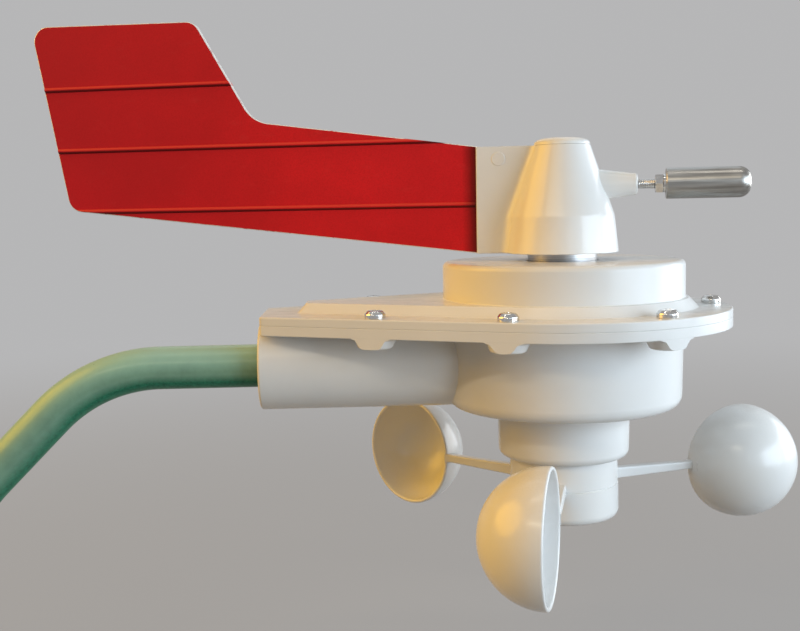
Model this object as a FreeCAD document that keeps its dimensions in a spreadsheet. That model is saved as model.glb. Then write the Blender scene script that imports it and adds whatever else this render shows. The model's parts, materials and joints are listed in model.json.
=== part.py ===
"""Wind vane and cup anemometer on a bent tube arm, as a parametric FreeCAD document.

Lengths are in millimetres and angles in degrees.  +Z is up.  The origin is the centre of the
open lower end of the tube, where a mast clamp holds it.  The vane and the cup rotor turn about
one vertical axis above the origin's far side.  Heights of the head are counted from the seam
between its cover and its housing.
"""
import FreeCAD, Part
import math
import os

import Sketcher
from FreeCAD import Placement, Rotation, Vector

doc = FreeCAD.newDocument("WindSensorHead")
sheet = doc.addObject("Spreadsheet::Sheet", "Sizes")

# ---------------------------------------------------------------- driving sizes
SIZES = {
    # arm tube, from its free end to the socket
    "tube_radius": 8.6, "tube_wall": 1.5, "tube_spigot": 50.0, "tube_bend_radius": 63.0,
    "tube_bend": 45.0, "tube_slope_run": 36.0, "tube_level_run": 40.0, "tube_insertion": 60.0,
    "tube_drop": 18.0,
    # flange that both housing halves share, seen from above
    "flange_radius": 66.0, "flange_end": 120.4, "flange_end_half": 19.0,
    "cover_flange": 3.4, "housing_flange": 3.9, "flange_round": 0.6,
    # raised platform over the arm
    "platform_radius": 49.4, "platform_end": 102.8, "platform_end_half": 5.5,
    "platform_rise": 3.9, "platform_taper": 42.0, "platform_skin": 2.8,
    # drums
    "wall": 3.0, "cover_drum_radius": 48.1, "cover_drum_height": 22.0, "cover_drum_round": 2.2,
    "drum_radius": 47.5, "drum_foot_radius": 46.9, "drum_depth": 36.4, "drum_round": 5.0,
    "neck_radius": 26.6, "neck_foot_radius": 26.2, "neck_depth": 57.0, "neck_round": 3.2,
    # arm socket and its fasteners
    "socket_radius": 17.6, "socket_proud": 1.6, "wire_way_radius": 6.0, "seal_radius": 11.0,
    "seal_depth": 2.5,
    "set_screw_radius": 2.5, "set_screw_reach": 80.0, "set_screw_pitch": 24.0,
    "set_screw_sunk": 0.4, "set_screw_point": 0.8,
    # cover screws, their bosses and inserts
    "screw_circle": 60.3, "front_screw_angle": 62.0, "rear_screw_angle": 118.5,
    "arm_screw_x": 75.9, "arm_screw_y": 33.0, "screw_hole_radius": 2.25,
    "screw_radius": 2.0, "screw_head_radius": 4.0, "screw_head": 3.2, "screw_length": 10.0,
    "boss_depth": 8.4, "boss_radius": 7.4, "boss_taper": 28.0,
    "insert_radius": 3.0, "insert_length": 7.0,
    # sealing cord between the halves
    "cord_radius": 56.4, "cord_end": 114.5, "cord_end_half": 10.5, "cord_width": 2.4,
    "cord_depth": 1.6,
    # ball bearings, all four alike
    "bearing_bore": 4.0, "bearing_radius": 11.0, "bearing_width": 7.0, "ball_radius": 1.95,
    "ball_pitch": 7.5, "race_gap": 0.1, "race_lip": 1.5, "ball_count": 8,
    "sleeve_radius": 13.9, "sleeve_lip_radius": 9.5, "sleeve_boss": 3.1, "fit_clearance": 0.04,
    "shoulder": 1.0,
    # vane axle and what it carries inside the head
    "vane_sleeve_foot": 5.0, "vane_sleeve_top": 40.5, "vane_axle_foot": 0.0,
    "magnet_radius": 4.5, "magnet": 3.0, "holder_radius": 6.0, "holder": 6.0,
    "clip_radius": 5.6, "clip": 0.8, "clip_groove": 0.4,
    # vane hub
    "hub_foot": 25.0, "hub_foot_radius": 22.2, "hub_waist": 39.6, "hub_waist_radius": 20.7,
    "hub_top": 67.6, "hub_top_radius": 11.2, "hub_cavity_radius": 15.9, "hub_cavity_top": 42.0,
    "nut_pocket_radius": 7.6, "nut_pocket": 10.2, "cap_dome": 3.0, "cap_plug": 2.4,
    "axle_thread_radius": 3.0, "hub_nut_flats": 10.0, "hub_nut": 4.0, "hub_washer_radius": 6.5,
    "hub_washer": 1.0, "thread_spare": 1.0,
    "plate_reach": 35.0, "plate_thick": 7.0, "plate_lift": 0.1, "plate_inset": 1.5, "slot_depth": 15.5,
    "slot_edge": 1.6,
    # fin
    "fin_thick": 2.4, "fin_step": 127.4, "fin_step_top": 80.8, "fin_crest_in": 151.5,
    "fin_crest": 122.8, "fin_tail_top": 225.0, "fin_tail": 210.5, "fin_tail_foot": 45.3,
    "fin_rise": 1.0, "fin_root_top": 68.0, "fin_corner": 6.5, "fin_step_round": 13.5,
    "rib_low": 44.7, "rib_pitch": 26.1, "rib_width": 2.6, "rib_proud": 0.6, "rib_edge": 0.6,
    "pin_out": 25.1, "pin_up": 62.7, "pin_radius": 2.9,
    # nose and counterweight
    "nose_height": 51.6, "nose_tip": 29.6, "nose_tip_radius": 4.1, "nose_taper": 7.5,
    "nose_start": 10.0, "nose_round": 1.0,
    "rod_radius": 2.0, "rod_start": 12.0, "rod_reach": 56.0,
    "nut_start": 36.2, "nut_flats": 7.0, "nut": 3.2, "washer_radius": 3.5, "washer": 0.9,
    "weight_radius": 6.05, "weight_length": 32.3, "weight_bore_depth": 24.0, "weight_round": 4.6,
    "weight_edge": 0.6,
    # rotor axle
    "rotor_sleeve_top": 28.0, "rotor_sleeve_foot": 54.0, "rotor_axle_top": 18.0,
    "rotor_axle_foot": 76.0, "rotor_disc_radius": 9.0, "rotor_disc": 4.0,
    "spacer_radius": 6.0,
    # rotor hub
    "rotor_gap": 0.65, "rotor_radius": 21.7, "rotor_foot_radius": 22.2, "rotor_top": 55.0,
    "rotor_foot": 82.0,
    "rotor_wall": 2.6, "rotor_boss_radius": 9.0, "rotor_boss_top": 58.6, "rotor_round": 3.5,
    "rotor_screw_radius": 2.0, "rotor_screw_length": 12.0, "rotor_screw_recess": 4.6,
    "rotor_screw_seat": 1.2,
    # cups and their arms
    "cup_circle": 83.8, "cup_radius": 24.2, "cup_wall": 1.5, "cup_height": 67.3,
    "arm_thick": 4.0, "arm_root": 5.0, "arm_end": 3.3, "arm_start": 9.5, "lug_reach": 3.2,
    "lug_depth": 9.5, "lug_sink": 0.3, "lug_back": 1.0, "cup_angle": 120.0, "cup_yaw": 3.4,
    "cup_lip": 2.6,
    # circuit board
    "board_radius": 38.0, "board": 1.6, "board_top": 6.5, "post_circle": 32.0,
    "post_radius": 3.5, "post_hole_radius": 1.25, "board_head_radius": 2.5, "board_head": 2.0,
    "board_screw": 8.0, "chip": 5.0, "chip_height": 1.4, "hall_width": 4.0,
    "hall_height": 5.0, "block_out": 27.0, "block_length": 16.0, "block_width": 9.0,
    "block_height": 8.5,
    # headings of the two turning groups, about +Z from +X
    "vane_heading": -12.0, "rotor_heading": -103.1,
}


class Size:
    """A length or number that knows both its value and its spreadsheet expression."""

    def __init__(self, value, text):
        self.value = value
        self.text = text

    def __add__(self, other):
        other = size(other)
        return Size(self.value + other.value, f"({self.text} + {other.text})")

    def __sub__(self, other):
        other = size(other)
        return Size(self.value - other.value, f"({self.text} - {other.text})")

    def __mul__(self, other):
        other = size(other)
        return Size(self.value * other.value, f"({self.text} * {other.text})")

    def __truediv__(self, other):
        other = size(other)
        return Size(self.value / other.value, f"({self.text} / {other.text})")

    def __radd__(self, other):
        return size(other) + self

    def __rsub__(self, other):
        return size(other) - self

    def __rmul__(self, other):
        return size(other) * self

    def __neg__(self):
        return size(0) - self


def size(number):
    """Wrap a plain number, so that it can be used with sheet sizes."""
    if isinstance(number, Size):
        return number
    return Size(float(number), repr(float(number)))


def cosine(angle):
    angle = size(angle)
    return Size(math.cos(math.radians(angle.value)), f"cos({angle.text} * 1 deg)")


def sine(angle):
    angle = size(angle)
    return Size(math.sin(math.radians(angle.value)), f"sin({angle.text} * 1 deg)")


def tangent(angle):
    return sine(angle) / cosine(angle)


class Sheet:
    """Every driving size by its name, such as S.wall."""


S = Sheet()
for row, (name, number) in enumerate(SIZES.items(), start=1):
    sheet.set(f"A{row}", name)
    sheet.set(f"B{row}", str(number))
    sheet.setAlias(f"B{row}", name)
    setattr(S, name, Size(float(number), f"Sizes.{name}"))
doc.recompute()

# places that follow from the driving sizes
bend_rise = S.tube_bend_radius * sine(S.tube_bend)
bend_shift = S.tube_bend_radius * (1 - cosine(S.tube_bend))
slope_x = S.tube_slope_run * sine(S.tube_bend)
slope_z = S.tube_slope_run * cosine(S.tube_bend)
socket_x = bend_shift + slope_x + bend_rise + S.tube_level_run
mouth = S.flange_end + S.socket_proud
axis_x = socket_x + mouth
tube_z = S.tube_spigot + bend_rise + slope_z + bend_shift
seam_z = tube_z + S.tube_drop
AXIS = (axis_x, size(0), seam_z)
ORIGIN = (size(0), size(0), size(0))

SCREWS = [(S.screw_circle, size(0))]
for side in (-1, 1):
    for angle in (S.front_screw_angle, S.rear_screw_angle):
        SCREWS.append((S.screw_circle * cosine(angle), side * S.screw_circle * sine(angle)))
    SCREWS.append((-S.arm_screw_x, side * S.arm_screw_y))
POSTS = []
for angle in (90, 210, 330):
    POSTS.append((S.post_circle * cosine(angle), S.post_circle * sine(angle)))

nodes = []


# ---------------------------------------------------------------- building helpers
def bind(thing, path, quantity):
    thing.setExpression(path, size(quantity).text)


def place(thing, base, heading=None):
    """Put a finished sub-part at base, turned about +Z by heading."""
    angle = 0.0 if heading is None else heading.value
    thing.Placement = Placement(Vector(*[b.value for b in base]), Rotation(Vector(0, 0, 1), angle))
    for axis, amount in zip("xyz", base):
        bind(thing, f"Placement.Base.{axis}", amount)
    if heading is not None:
        bind(thing, "Placement.Rotation.Angle", heading)


def node(thing, label, base=None, heading=None):
    """Name a sub-part and keep it for writing."""
    thing.Label = label
    if base is not None:
        place(thing, base, heading)
    nodes.append(thing)
    return thing


def new_body(name):
    return doc.addObject("PartDesign::Body", name)


def sketch_on(body, name, plane, shift=(0, 0, 0)):
    """A sketch on one of the body's own origin planes, moved by shift in the sketch's axes."""
    sketch = body.newObject("Sketcher::SketchObject", name)
    support = [f for f in body.Origin.OriginFeatures if f.Role == plane][0]
    sketch.AttachmentSupport = [(support, "")]
    sketch.MapMode = "FlatFace"
    moved = [size(amount) for amount in shift]
    sketch.AttachmentOffset = Placement(Vector(*[m.value for m in moved]), Rotation())
    for axis, amount in zip("xyz", moved):
        if amount.value:
            bind(sketch, f"AttachmentOffset.Base.{axis}", amount)
    return sketch


def pin_point(sketch, geometry, end, point):
    """Hold one end of a sketch element at a bound place."""
    for kind, amount, axis in (("DistanceX", size(point[0]), -2), ("DistanceY", size(point[1]), -1)):
        if abs(amount.value) < 1e-9:
            sketch.addConstraint(Sketcher.Constraint("PointOnObject", geometry, end, axis))
        else:
            index = sketch.addConstraint(
                Sketcher.Constraint(kind, -1, 1, geometry, end, amount.value))
            bind(sketch, f"Constraints[{index}]", amount)


def hold_length(sketch, kind, line, length):
    """Bind a line's length, or its width or height."""
    index = sketch.addConstraint(Sketcher.Constraint(kind, line, 1, line, 2, length.value))
    bind(sketch, f"Constraints[{index}]", length)


def flat(point):
    return Vector(size(point[0]).value, size(point[1]).value, 0)


def polygon(sketch, points):
    """A closed outline of straight lines through bound points."""
    lines = []
    for start, end in zip(points, points[1:] + points[:1]):
        lines.append(sketch.addGeometry(Part.LineSegment(flat(start), flat(end))))
    for line, following in zip(lines, lines[1:] + lines[:1]):
        sketch.addConstraint(Sketcher.Constraint("Coincident", line, 2, following, 1))
    for line, point in zip(lines, points):
        pin_point(sketch, line, 1, point)


def circle(sketch, radius, centre=(0, 0)):
    radius = size(radius)
    ring = sketch.addGeometry(Part.Circle(flat(centre), Vector(0, 0, 1), radius.value))
    index = sketch.addConstraint(Sketcher.Constraint("Radius", ring, radius.value))
    bind(sketch, f"Constraints[{index}]", radius)
    pin_point(sketch, ring, 3, centre)


def pear(sketch, radius, end, end_half):
    """A circle about the axis whose two tangents run in to a flat end at -X."""
    corner = math.hypot(end.value, end_half.value)
    turn = math.atan2(end_half.value, end.value) + math.acos(radius.value / corner)
    touch = Vector(-radius.value * math.cos(turn), radius.value * math.sin(turn), 0)
    mirror = Vector(touch.x, -touch.y, 0)
    upper = Vector(-end.value, end_half.value, 0)
    lower = Vector(-end.value, -end_half.value, 0)
    arc = sketch.addGeometry(Part.Arc(mirror, Vector(radius.value, 0, 0), touch))
    top = sketch.addGeometry(Part.LineSegment(touch, upper))
    tip = sketch.addGeometry(Part.LineSegment(upper, lower))
    foot = sketch.addGeometry(Part.LineSegment(lower, mirror))
    sketch.addConstraint(Sketcher.Constraint("PointOnObject", arc, 3, -1))
    sketch.addConstraint(Sketcher.Constraint("PointOnObject", arc, 3, -2))
    sketch.addConstraint(Sketcher.Constraint("Tangent", arc, 2, top, 1))
    sketch.addConstraint(Sketcher.Constraint("Coincident", top, 2, tip, 1))
    sketch.addConstraint(Sketcher.Constraint("Coincident", tip, 2, foot, 1))
    sketch.addConstraint(Sketcher.Constraint("Tangent", foot, 2, arc, 1))
    index = sketch.addConstraint(Sketcher.Constraint("Radius", arc, radius.value))
    bind(sketch, f"Constraints[{index}]", radius)
    pin_point(sketch, tip, 1, (-end, end_half))
    pin_point(sketch, tip, 2, (-end, -end_half))


def extrude(body, kind, sketch, length, reverse=False, taper=None, middle=False):
    """A Pad or Pocket of bound length; a Pocket has to change the volume."""
    feature = body.newObject(f"PartDesign::{kind}", kind)
    feature.Profile = sketch
    feature.Type = "Length"
    bind(feature, "Length", length)
    feature.Reversed = reverse
    if middle:
        feature.SideType = "Symmetric"
    if taper is not None:
        bind(feature, "TaperAngle", taper)
    sketch.Visibility = False
    doc.recompute()
    return feature


def pad(body, sketch, length, **options):
    return extrude(body, "Pad", sketch, length, **options)


def pocket(body, sketch, length, **options):
    before = body.Shape.Volume
    feature = extrude(body, "Pocket", sketch, length, **options)
    if body.Shape.Volume > before - 1e-6:
        raise RuntimeError(f"a pocket in {body.Name} cuts nothing")
    return feature


def revolve(body, sketch, axis="V_Axis"):
    feature = body.newObject("PartDesign::Revolution", "Revolution")
    feature.Profile = sketch
    feature.ReferenceAxis = (sketch, [axis])
    feature.Angle = 360.0
    doc.recompute()
    return feature


def round_edges(body, radius, wanted):
    """Fillet the edges of the body's last feature for which wanted(edge) is true."""
    doc.recompute()
    tip = body.Tip
    names = [f"Edge{i}" for i, edge in enumerate(tip.Shape.Edges, start=1) if wanted(edge)]
    if not names:
        raise RuntimeError(f"no edge to round in {body.Name}")
    feature = body.newObject("PartDesign::Fillet", "Fillet")
    feature.Base = (tip, names)
    bind(feature, "Radius", radius)
    doc.recompute()
    return feature


def ring_edge(edge, radius, height):
    """True for a circular edge about the body's Z axis with that radius and height."""
    curve = edge.Curve
    if not isinstance(curve, Part.Circle):
        return False
    if math.hypot(curve.Center.x, curve.Center.y) > 1e-6:
        return False
    return abs(curve.Radius - radius.value) < 1e-4 and abs(curve.Center.z - height.value) < 1e-4


def level_edge(edge, height):
    box = edge.BoundBox
    return abs(box.ZMin - height.value) < 1e-4 and abs(box.ZMax - height.value) < 1e-4


def turned(name, outline, axis="V_Axis", shift=(0, 0, 0)):
    """A body made by turning one outline about an axis of its sketch."""
    body = new_body(name)
    sketch = sketch_on(body, name + "_outline", "XZ_Plane", shift)
    polygon(sketch, outline)
    revolve(body, sketch, axis)
    return body


def tube_outline(inner, outer, foot, top):
    return [(inner, foot), (outer, foot), (outer, top), (inner, top)]


def solid_outline(radius, foot, top):
    return tube_outline(size(0), radius, foot, top)


def group(label, members, base=None, heading=None):
    """Several like pieces as one node of separate solids."""
    compound = doc.addObject("Part::Compound", label)
    compound.Links = members
    return node(compound, label, base, heading)


def at_axis(x, y, z=size(0)):
    return (AXIS[0] + x, AXIS[1] + y, AXIS[2] + z)


# ---------------------------------------------------------------- arm tube
def arm_tube():
    """Bent tube: upright spigot, bend, slope, bend, level run into the socket."""
    body = new_body("arm_tube")
    path = sketch_on(body, "arm_tube_path", "XZ_Plane")
    radius = S.tube_bend_radius.value
    turn = math.radians(S.tube_bend.value)
    points = [Vector(0, 0, 0), Vector(0, S.tube_spigot.value, 0)]
    points.append(points[1] + Vector(bend_shift.value, bend_rise.value, 0))
    points.append(points[2] + Vector(slope_x.value, slope_z.value, 0))
    points.append(points[3] + Vector(bend_rise.value, bend_shift.value, 0))
    end = socket_x + S.tube_insertion
    points.append(Vector(end.value, tube_z.value, 0))
    first = points[1] + Vector(radius, 0, 0)
    second = points[4] - Vector(0, radius, 0)
    half = Vector(-math.cos(turn / 2), math.sin(turn / 2), 0) * radius
    upper_half = Vector(-math.sin(turn / 2), math.cos(turn / 2), 0) * radius
    spigot = path.addGeometry(Part.LineSegment(points[0], points[1]))
    lower = path.addGeometry(Part.Arc(points[1], first + half, points[2]))
    slope = path.addGeometry(Part.LineSegment(points[2], points[3]))
    upper = path.addGeometry(Part.Arc(points[3], second + upper_half, points[4]))
    level = path.addGeometry(Part.LineSegment(points[4], points[5]))
    path.addConstraint(Sketcher.Constraint("Coincident", spigot, 1, -1, 1))
    path.addConstraint(Sketcher.Constraint("Vertical", spigot))
    path.addConstraint(Sketcher.Constraint("Horizontal", level))
    bends = ((lower, spigot, slope, points[1]), (upper, slope, level, points[3]))
    for arc, before, after, start in bends:
        to_start = path.getPoint(arc, 1).distanceToPoint(start)
        near, far = (1, 2) if to_start < 1e-6 else (2, 1)
        path.addConstraint(Sketcher.Constraint("Tangent", before, 2, arc, near))
        path.addConstraint(Sketcher.Constraint("Tangent", arc, far, after, 1))
        index = path.addConstraint(Sketcher.Constraint("Radius", arc, radius))
        bind(path, f"Constraints[{index}]", S.tube_bend_radius)
    hold_length(path, "DistanceY", spigot, S.tube_spigot)
    hold_length(path, "Distance", slope, S.tube_slope_run)
    hold_length(path, "DistanceX", level, S.tube_level_run + S.tube_insertion)
    steep = 90 - S.tube_bend
    index = path.addConstraint(Sketcher.Constraint("Angle", slope, math.radians(steep.value)))
    path.setExpression(f"Constraints[{index}]", f"{steep.text} * 1 deg")
    section = sketch_on(body, "arm_tube_section", "XY_Plane")
    circle(section, S.tube_radius)
    circle(section, S.tube_radius - S.tube_wall)
    doc.recompute()
    sweep = body.newObject("PartDesign::AdditivePipe", "Sweep")
    sweep.Profile = section
    sweep.Spine = path
    doc.recompute()
    return node(body, "arm_tube", ORIGIN)


# ---------------------------------------------------------------- cover and housing
platform_top = S.cover_flange + S.platform_rise
socket_drop = -S.tube_drop
bore_radius = S.tube_radius + S.fit_clearance


def seven_circles(sketch, radius):
    for x, y in SCREWS:
        circle(sketch, radius, (x, y))


def top_cover():
    """Upper shell: pear flange, raised platform, drum and the boss for the vane sleeve."""
    body = new_body("top_cover")
    flange = sketch_on(body, "cover_flange_outline", "XY_Plane")
    pear(flange, S.flange_radius, S.flange_end, S.flange_end_half)
    pad(body, flange, S.cover_flange)
    round_edges(body, S.flange_round, lambda edge: level_edge(edge, S.cover_flange))
    platform = sketch_on(body, "platform_outline", "XY_Plane", (0, 0, platform_top))
    pear(platform, S.platform_radius, S.platform_end, S.platform_end_half)
    pad(body, platform, S.platform_rise, reverse=True, taper=S.platform_taper)
    inside = sketch_on(body, "platform_inside", "XY_Plane")
    pear(inside, S.platform_radius - S.wall, S.platform_end - S.wall, S.platform_end_half)
    pocket(body, inside, platform_top - S.platform_skin, reverse=True)
    hollow = sketch_on(body, "cover_hollow", "XY_Plane")
    circle(hollow, S.cover_drum_radius - S.wall)
    pocket(body, hollow, platform_top, reverse=True)
    shell = sketch_on(body, "cover_shell", "XZ_Plane")
    roof = S.cover_drum_height - S.wall
    boss = S.sleeve_radius + S.sleeve_boss
    polygon(shell, [
        (S.cover_drum_radius, 0), (S.cover_drum_radius, S.cover_drum_height),
        (S.sleeve_radius, S.cover_drum_height), (S.sleeve_radius, S.vane_sleeve_foot),
        (boss, S.vane_sleeve_foot), (boss, roof),
        (S.cover_drum_radius - S.wall, roof), (S.cover_drum_radius - S.wall, 0)])
    revolve(body, shell)
    round_edges(body, S.cover_drum_round,
                lambda edge: ring_edge(edge, S.cover_drum_radius, S.cover_drum_height))
    holes = sketch_on(body, "cover_screw_holes", "XY_Plane")
    seven_circles(holes, S.screw_hole_radius)
    pocket(body, holes, platform_top, reverse=True)
    return node(body, "top_cover", AXIS)


def bottom_housing():
    """Lower shell: pear flange, screw bosses, drum, neck skirt, arm socket and board posts."""
    body = new_body("bottom_housing")
    floor = -(S.drum_depth - S.wall)
    cavity = S.drum_foot_radius - S.wall
    hub_room = S.rotor_foot_radius + S.rotor_gap
    boss = S.sleeve_radius + S.sleeve_boss
    shell = sketch_on(body, "housing_shell", "XZ_Plane")
    polygon(shell, [
        (S.drum_radius, 0), (S.drum_foot_radius, -S.drum_depth), (S.neck_radius, -S.drum_depth),
        (S.neck_foot_radius, -S.neck_depth), (hub_room, -S.neck_depth), (hub_room, -S.drum_depth),
        (boss, -S.drum_depth), (boss, -S.rotor_sleeve_foot),
        (S.sleeve_radius, -S.rotor_sleeve_foot), (S.sleeve_radius, -S.rotor_sleeve_top),
        (boss, -S.rotor_sleeve_top), (boss, floor), (cavity, floor), (cavity, 0)])
    revolve(body, shell)
    round_edges(body, S.drum_round, lambda edge: ring_edge(edge, S.drum_foot_radius, -S.drum_depth))
    round_edges(body, S.neck_round, lambda edge: ring_edge(edge, S.neck_foot_radius, -S.neck_depth))
    flange = sketch_on(body, "housing_flange_outline", "XY_Plane")
    pear(flange, S.flange_radius, S.flange_end, S.flange_end_half)
    pad(body, flange, S.housing_flange, reverse=True)
    bosses = sketch_on(body, "boss_outlines", "XY_Plane", (0, 0, -S.housing_flange))
    seven_circles(bosses, S.boss_radius)
    pad(body, bosses, S.boss_depth - S.housing_flange, reverse=True, taper=-S.boss_taper)
    trim = sketch_on(body, "boss_trim", "XY_Plane", (0, 0, -S.housing_flange))
    pear(trim, S.flange_radius, S.flange_end, S.flange_end_half)
    circle(trim, mouth + S.flange_radius)
    pocket(body, trim, S.boss_depth)
    inner_end = mouth - cavity + S.wall
    socket = sketch_on(body, "socket_outline", "YZ_Plane", (0, socket_drop, -mouth))
    circle(socket, S.socket_radius)
    pad(body, socket, inner_end)
    hollow = sketch_on(body, "housing_hollow", "XY_Plane")
    circle(hollow, cavity)
    circle(hollow, boss)
    pocket(body, hollow, -floor)
    core = sketch_on(body, "housing_core", "XY_Plane")
    circle(core, boss)
    pocket(body, core, S.rotor_sleeve_top)
    bore = sketch_on(body, "socket_bore", "YZ_Plane", (0, socket_drop, -mouth))
    circle(bore, bore_radius)
    pocket(body, bore, S.tube_insertion, reverse=True)
    way = sketch_on(body, "wire_way", "YZ_Plane", (0, socket_drop, -mouth))
    circle(way, S.wire_way_radius)
    pocket(body, way, inner_end, reverse=True)
    seat = sketch_on(body, "seal_seat", "YZ_Plane", (0, socket_drop, -mouth))
    circle(seat, S.seal_radius)
    pocket(body, seat, S.seal_depth, reverse=True)
    set_holes = sketch_on(body, "set_screw_holes", "XY_Plane", (0, 0, socket_drop - S.socket_radius))
    circle(set_holes, S.set_screw_radius, (-S.set_screw_reach, 0))
    circle(set_holes, S.set_screw_radius, (-(S.set_screw_reach + S.set_screw_pitch), 0))
    pocket(body, set_holes, S.socket_radius - S.tube_radius / 2, reverse=True)
    groove = sketch_on(body, "cord_groove", "XY_Plane")
    cord_outlines(groove)
    pocket(body, groove, S.cord_depth)
    inserts = sketch_on(body, "insert_holes", "XY_Plane")
    seven_circles(inserts, S.insert_radius)
    pocket(body, inserts, S.insert_length)
    posts = sketch_on(body, "board_posts", "XY_Plane", (0, 0, floor))
    for x, y in POSTS:
        circle(posts, S.post_radius, (x, y))
    post_top = S.board_top + S.board
    pad(body, posts, -floor - post_top)
    post_holes = sketch_on(body, "post_holes", "XY_Plane", (0, 0, -post_top))
    for x, y in POSTS:
        circle(post_holes, S.post_hole_radius, (x, y))
    pocket(body, post_holes, S.board_screw)
    return node(body, "bottom_housing", AXIS)


def cord_outlines(sketch):
    pear(sketch, S.cord_radius, S.cord_end, S.cord_end_half)
    pear(sketch, S.cord_radius - S.cord_width, S.cord_end - S.cord_width,
         S.cord_end_half - S.cord_width / 2)


def sealing_cord():
    """Flat rubber cord that fills the groove between the halves."""
    body = new_body("housing_seal")
    sketch = sketch_on(body, "seal_outline", "XY_Plane")
    cord_outlines(sketch)
    pad(body, sketch, S.cord_depth, reverse=True)
    return node(body, "housing_seal", AXIS)


def pan_screw(name, radius, length, head_radius, head):
    """Pan-head screw standing on z = 0, with its rounded head above and its shank below."""
    body = turned(name, [
        (0, head), (head_radius * 0.62, head), (head_radius * 0.94, head * 0.62), (head_radius, 0),
        (radius, 0), (radius, -length), (0, -length)])
    return body


def cover_fasteners():
    screws = []
    inserts = []
    for count, (x, y) in enumerate(SCREWS, start=1):
        screw = pan_screw(f"cover_screw_{count}", S.screw_radius, S.screw_length,
                          S.screw_head_radius, S.screw_head)
        place(screw, at_axis(x, y, S.cover_flange))
        screws.append(screw)
        insert = turned(f"insert_{count}", tube_outline(
            S.screw_radius, S.insert_radius, -S.insert_length, size(0)))
        place(insert, at_axis(x, y))
        inserts.append(insert)
    group("cover_screws", screws)
    group("threaded_inserts", inserts)


def tube_fixings():
    """Rubber ring at the socket's mouth and two set screws under the arm."""
    seal = turned("tube_seal", [
        (-mouth, bore_radius), (-mouth + S.seal_depth, bore_radius),
        (-mouth + S.seal_depth, S.seal_radius), (-mouth, S.seal_radius)],
        axis="H_Axis", shift=(0, socket_drop, 0))
    node(seal, "tube_seal", AXIS)
    screws = []
    length = S.socket_radius - S.tube_radius - S.set_screw_sunk
    for count, x in enumerate((S.set_screw_reach, S.set_screw_reach + S.set_screw_pitch), start=1):
        hexagon = S.set_screw_radius * 0.5
        screw = turned(f"set_screw_{count}", [
            (0, hexagon), (hexagon, hexagon), (hexagon, 0), (S.set_screw_radius, 0),
            (S.set_screw_radius, length - S.set_screw_point),
            (S.set_screw_radius - S.set_screw_point, length), (0, length)])
        place(screw, at_axis(-x, size(0), socket_drop - S.socket_radius + S.set_screw_sunk))
        screws.append(screw)
    group("tube_set_screws", screws)


# ---------------------------------------------------------------- bearings and sleeves
def ring_part(name, outer, inner, foot, top, groove):
    """Bearing ring: a plain ring with a ball groove cut round it at mid height."""
    outer_wall = doc.addObject("Part::Cylinder", name + "_outer")
    bind(outer_wall, "Radius", outer)
    bind(outer_wall, "Height", top - foot)
    inner_wall = doc.addObject("Part::Cylinder", name + "_inner")
    bind(inner_wall, "Radius", inner)
    bind(inner_wall, "Height", top - foot)
    ring = doc.addObject("Part::Cut", name + "_ring")
    ring.Base = outer_wall
    ring.Tool = inner_wall
    track = doc.addObject("Part::Torus", name + "_track")
    bind(track, "Radius1", S.ball_pitch)
    bind(track, "Radius2", groove)
    bind(track, "Placement.Base.z", (top - foot) / 2)
    cut = doc.addObject("Part::Cut", name)
    cut.Base = ring
    cut.Tool = track
    place(cut, (size(0), size(0), foot))
    return cut


def bearing_pair(prefix, feet, heading=None):
    """Outer rings, inner rings and balls of two bearings whose lower faces are at feet."""
    outers = []
    inners = []
    balls = []
    groove = S.ball_radius + S.race_gap
    for count, foot in enumerate(feet, start=1):
        top = foot + S.bearing_width
        outers.append(ring_part(f"{prefix}_outer_{count}", S.bearing_radius,
                                S.ball_pitch + S.race_lip, foot, top, groove))
        inners.append(ring_part(f"{prefix}_inner_{count}", S.ball_pitch - S.race_lip,
                                S.bearing_bore, foot, top, groove))
        for ball_count in range(int(S.ball_count.value)):
            angle = size(360) / S.ball_count * ball_count
            ball = doc.addObject("Part::Sphere", f"{prefix}_ball_{count}_{ball_count}")
            bind(ball, "Radius", S.ball_radius)
            place(ball, (S.ball_pitch * cosine(angle), S.ball_pitch * sine(angle),
                         foot + S.bearing_width / 2))
            balls.append(ball)
    group(f"{prefix}_bearing_outer_rings", outers, AXIS)
    group(f"{prefix}_bearing_inner_rings", inners, AXIS, heading)
    group(f"{prefix}_bearing_balls", balls, AXIS)


def sleeve(label, foot, top):
    """Metal sleeve with a bearing seat at each end and a land between them."""
    width = S.bearing_width + S.shoulder
    body = turned(label, [
        (S.sleeve_radius, foot), (S.sleeve_radius, top), (S.bearing_radius, top),
        (S.bearing_radius, top - width), (S.sleeve_lip_radius, top - width),
        (S.sleeve_lip_radius, foot + width), (S.bearing_radius, foot + width),
        (S.bearing_radius, foot)])
    return node(body, label, AXIS)


# ---------------------------------------------------------------- vane
vane_bearing_low = S.vane_sleeve_foot + S.shoulder
vane_bearing_high = S.vane_sleeve_top - S.shoulder - S.bearing_width


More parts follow.
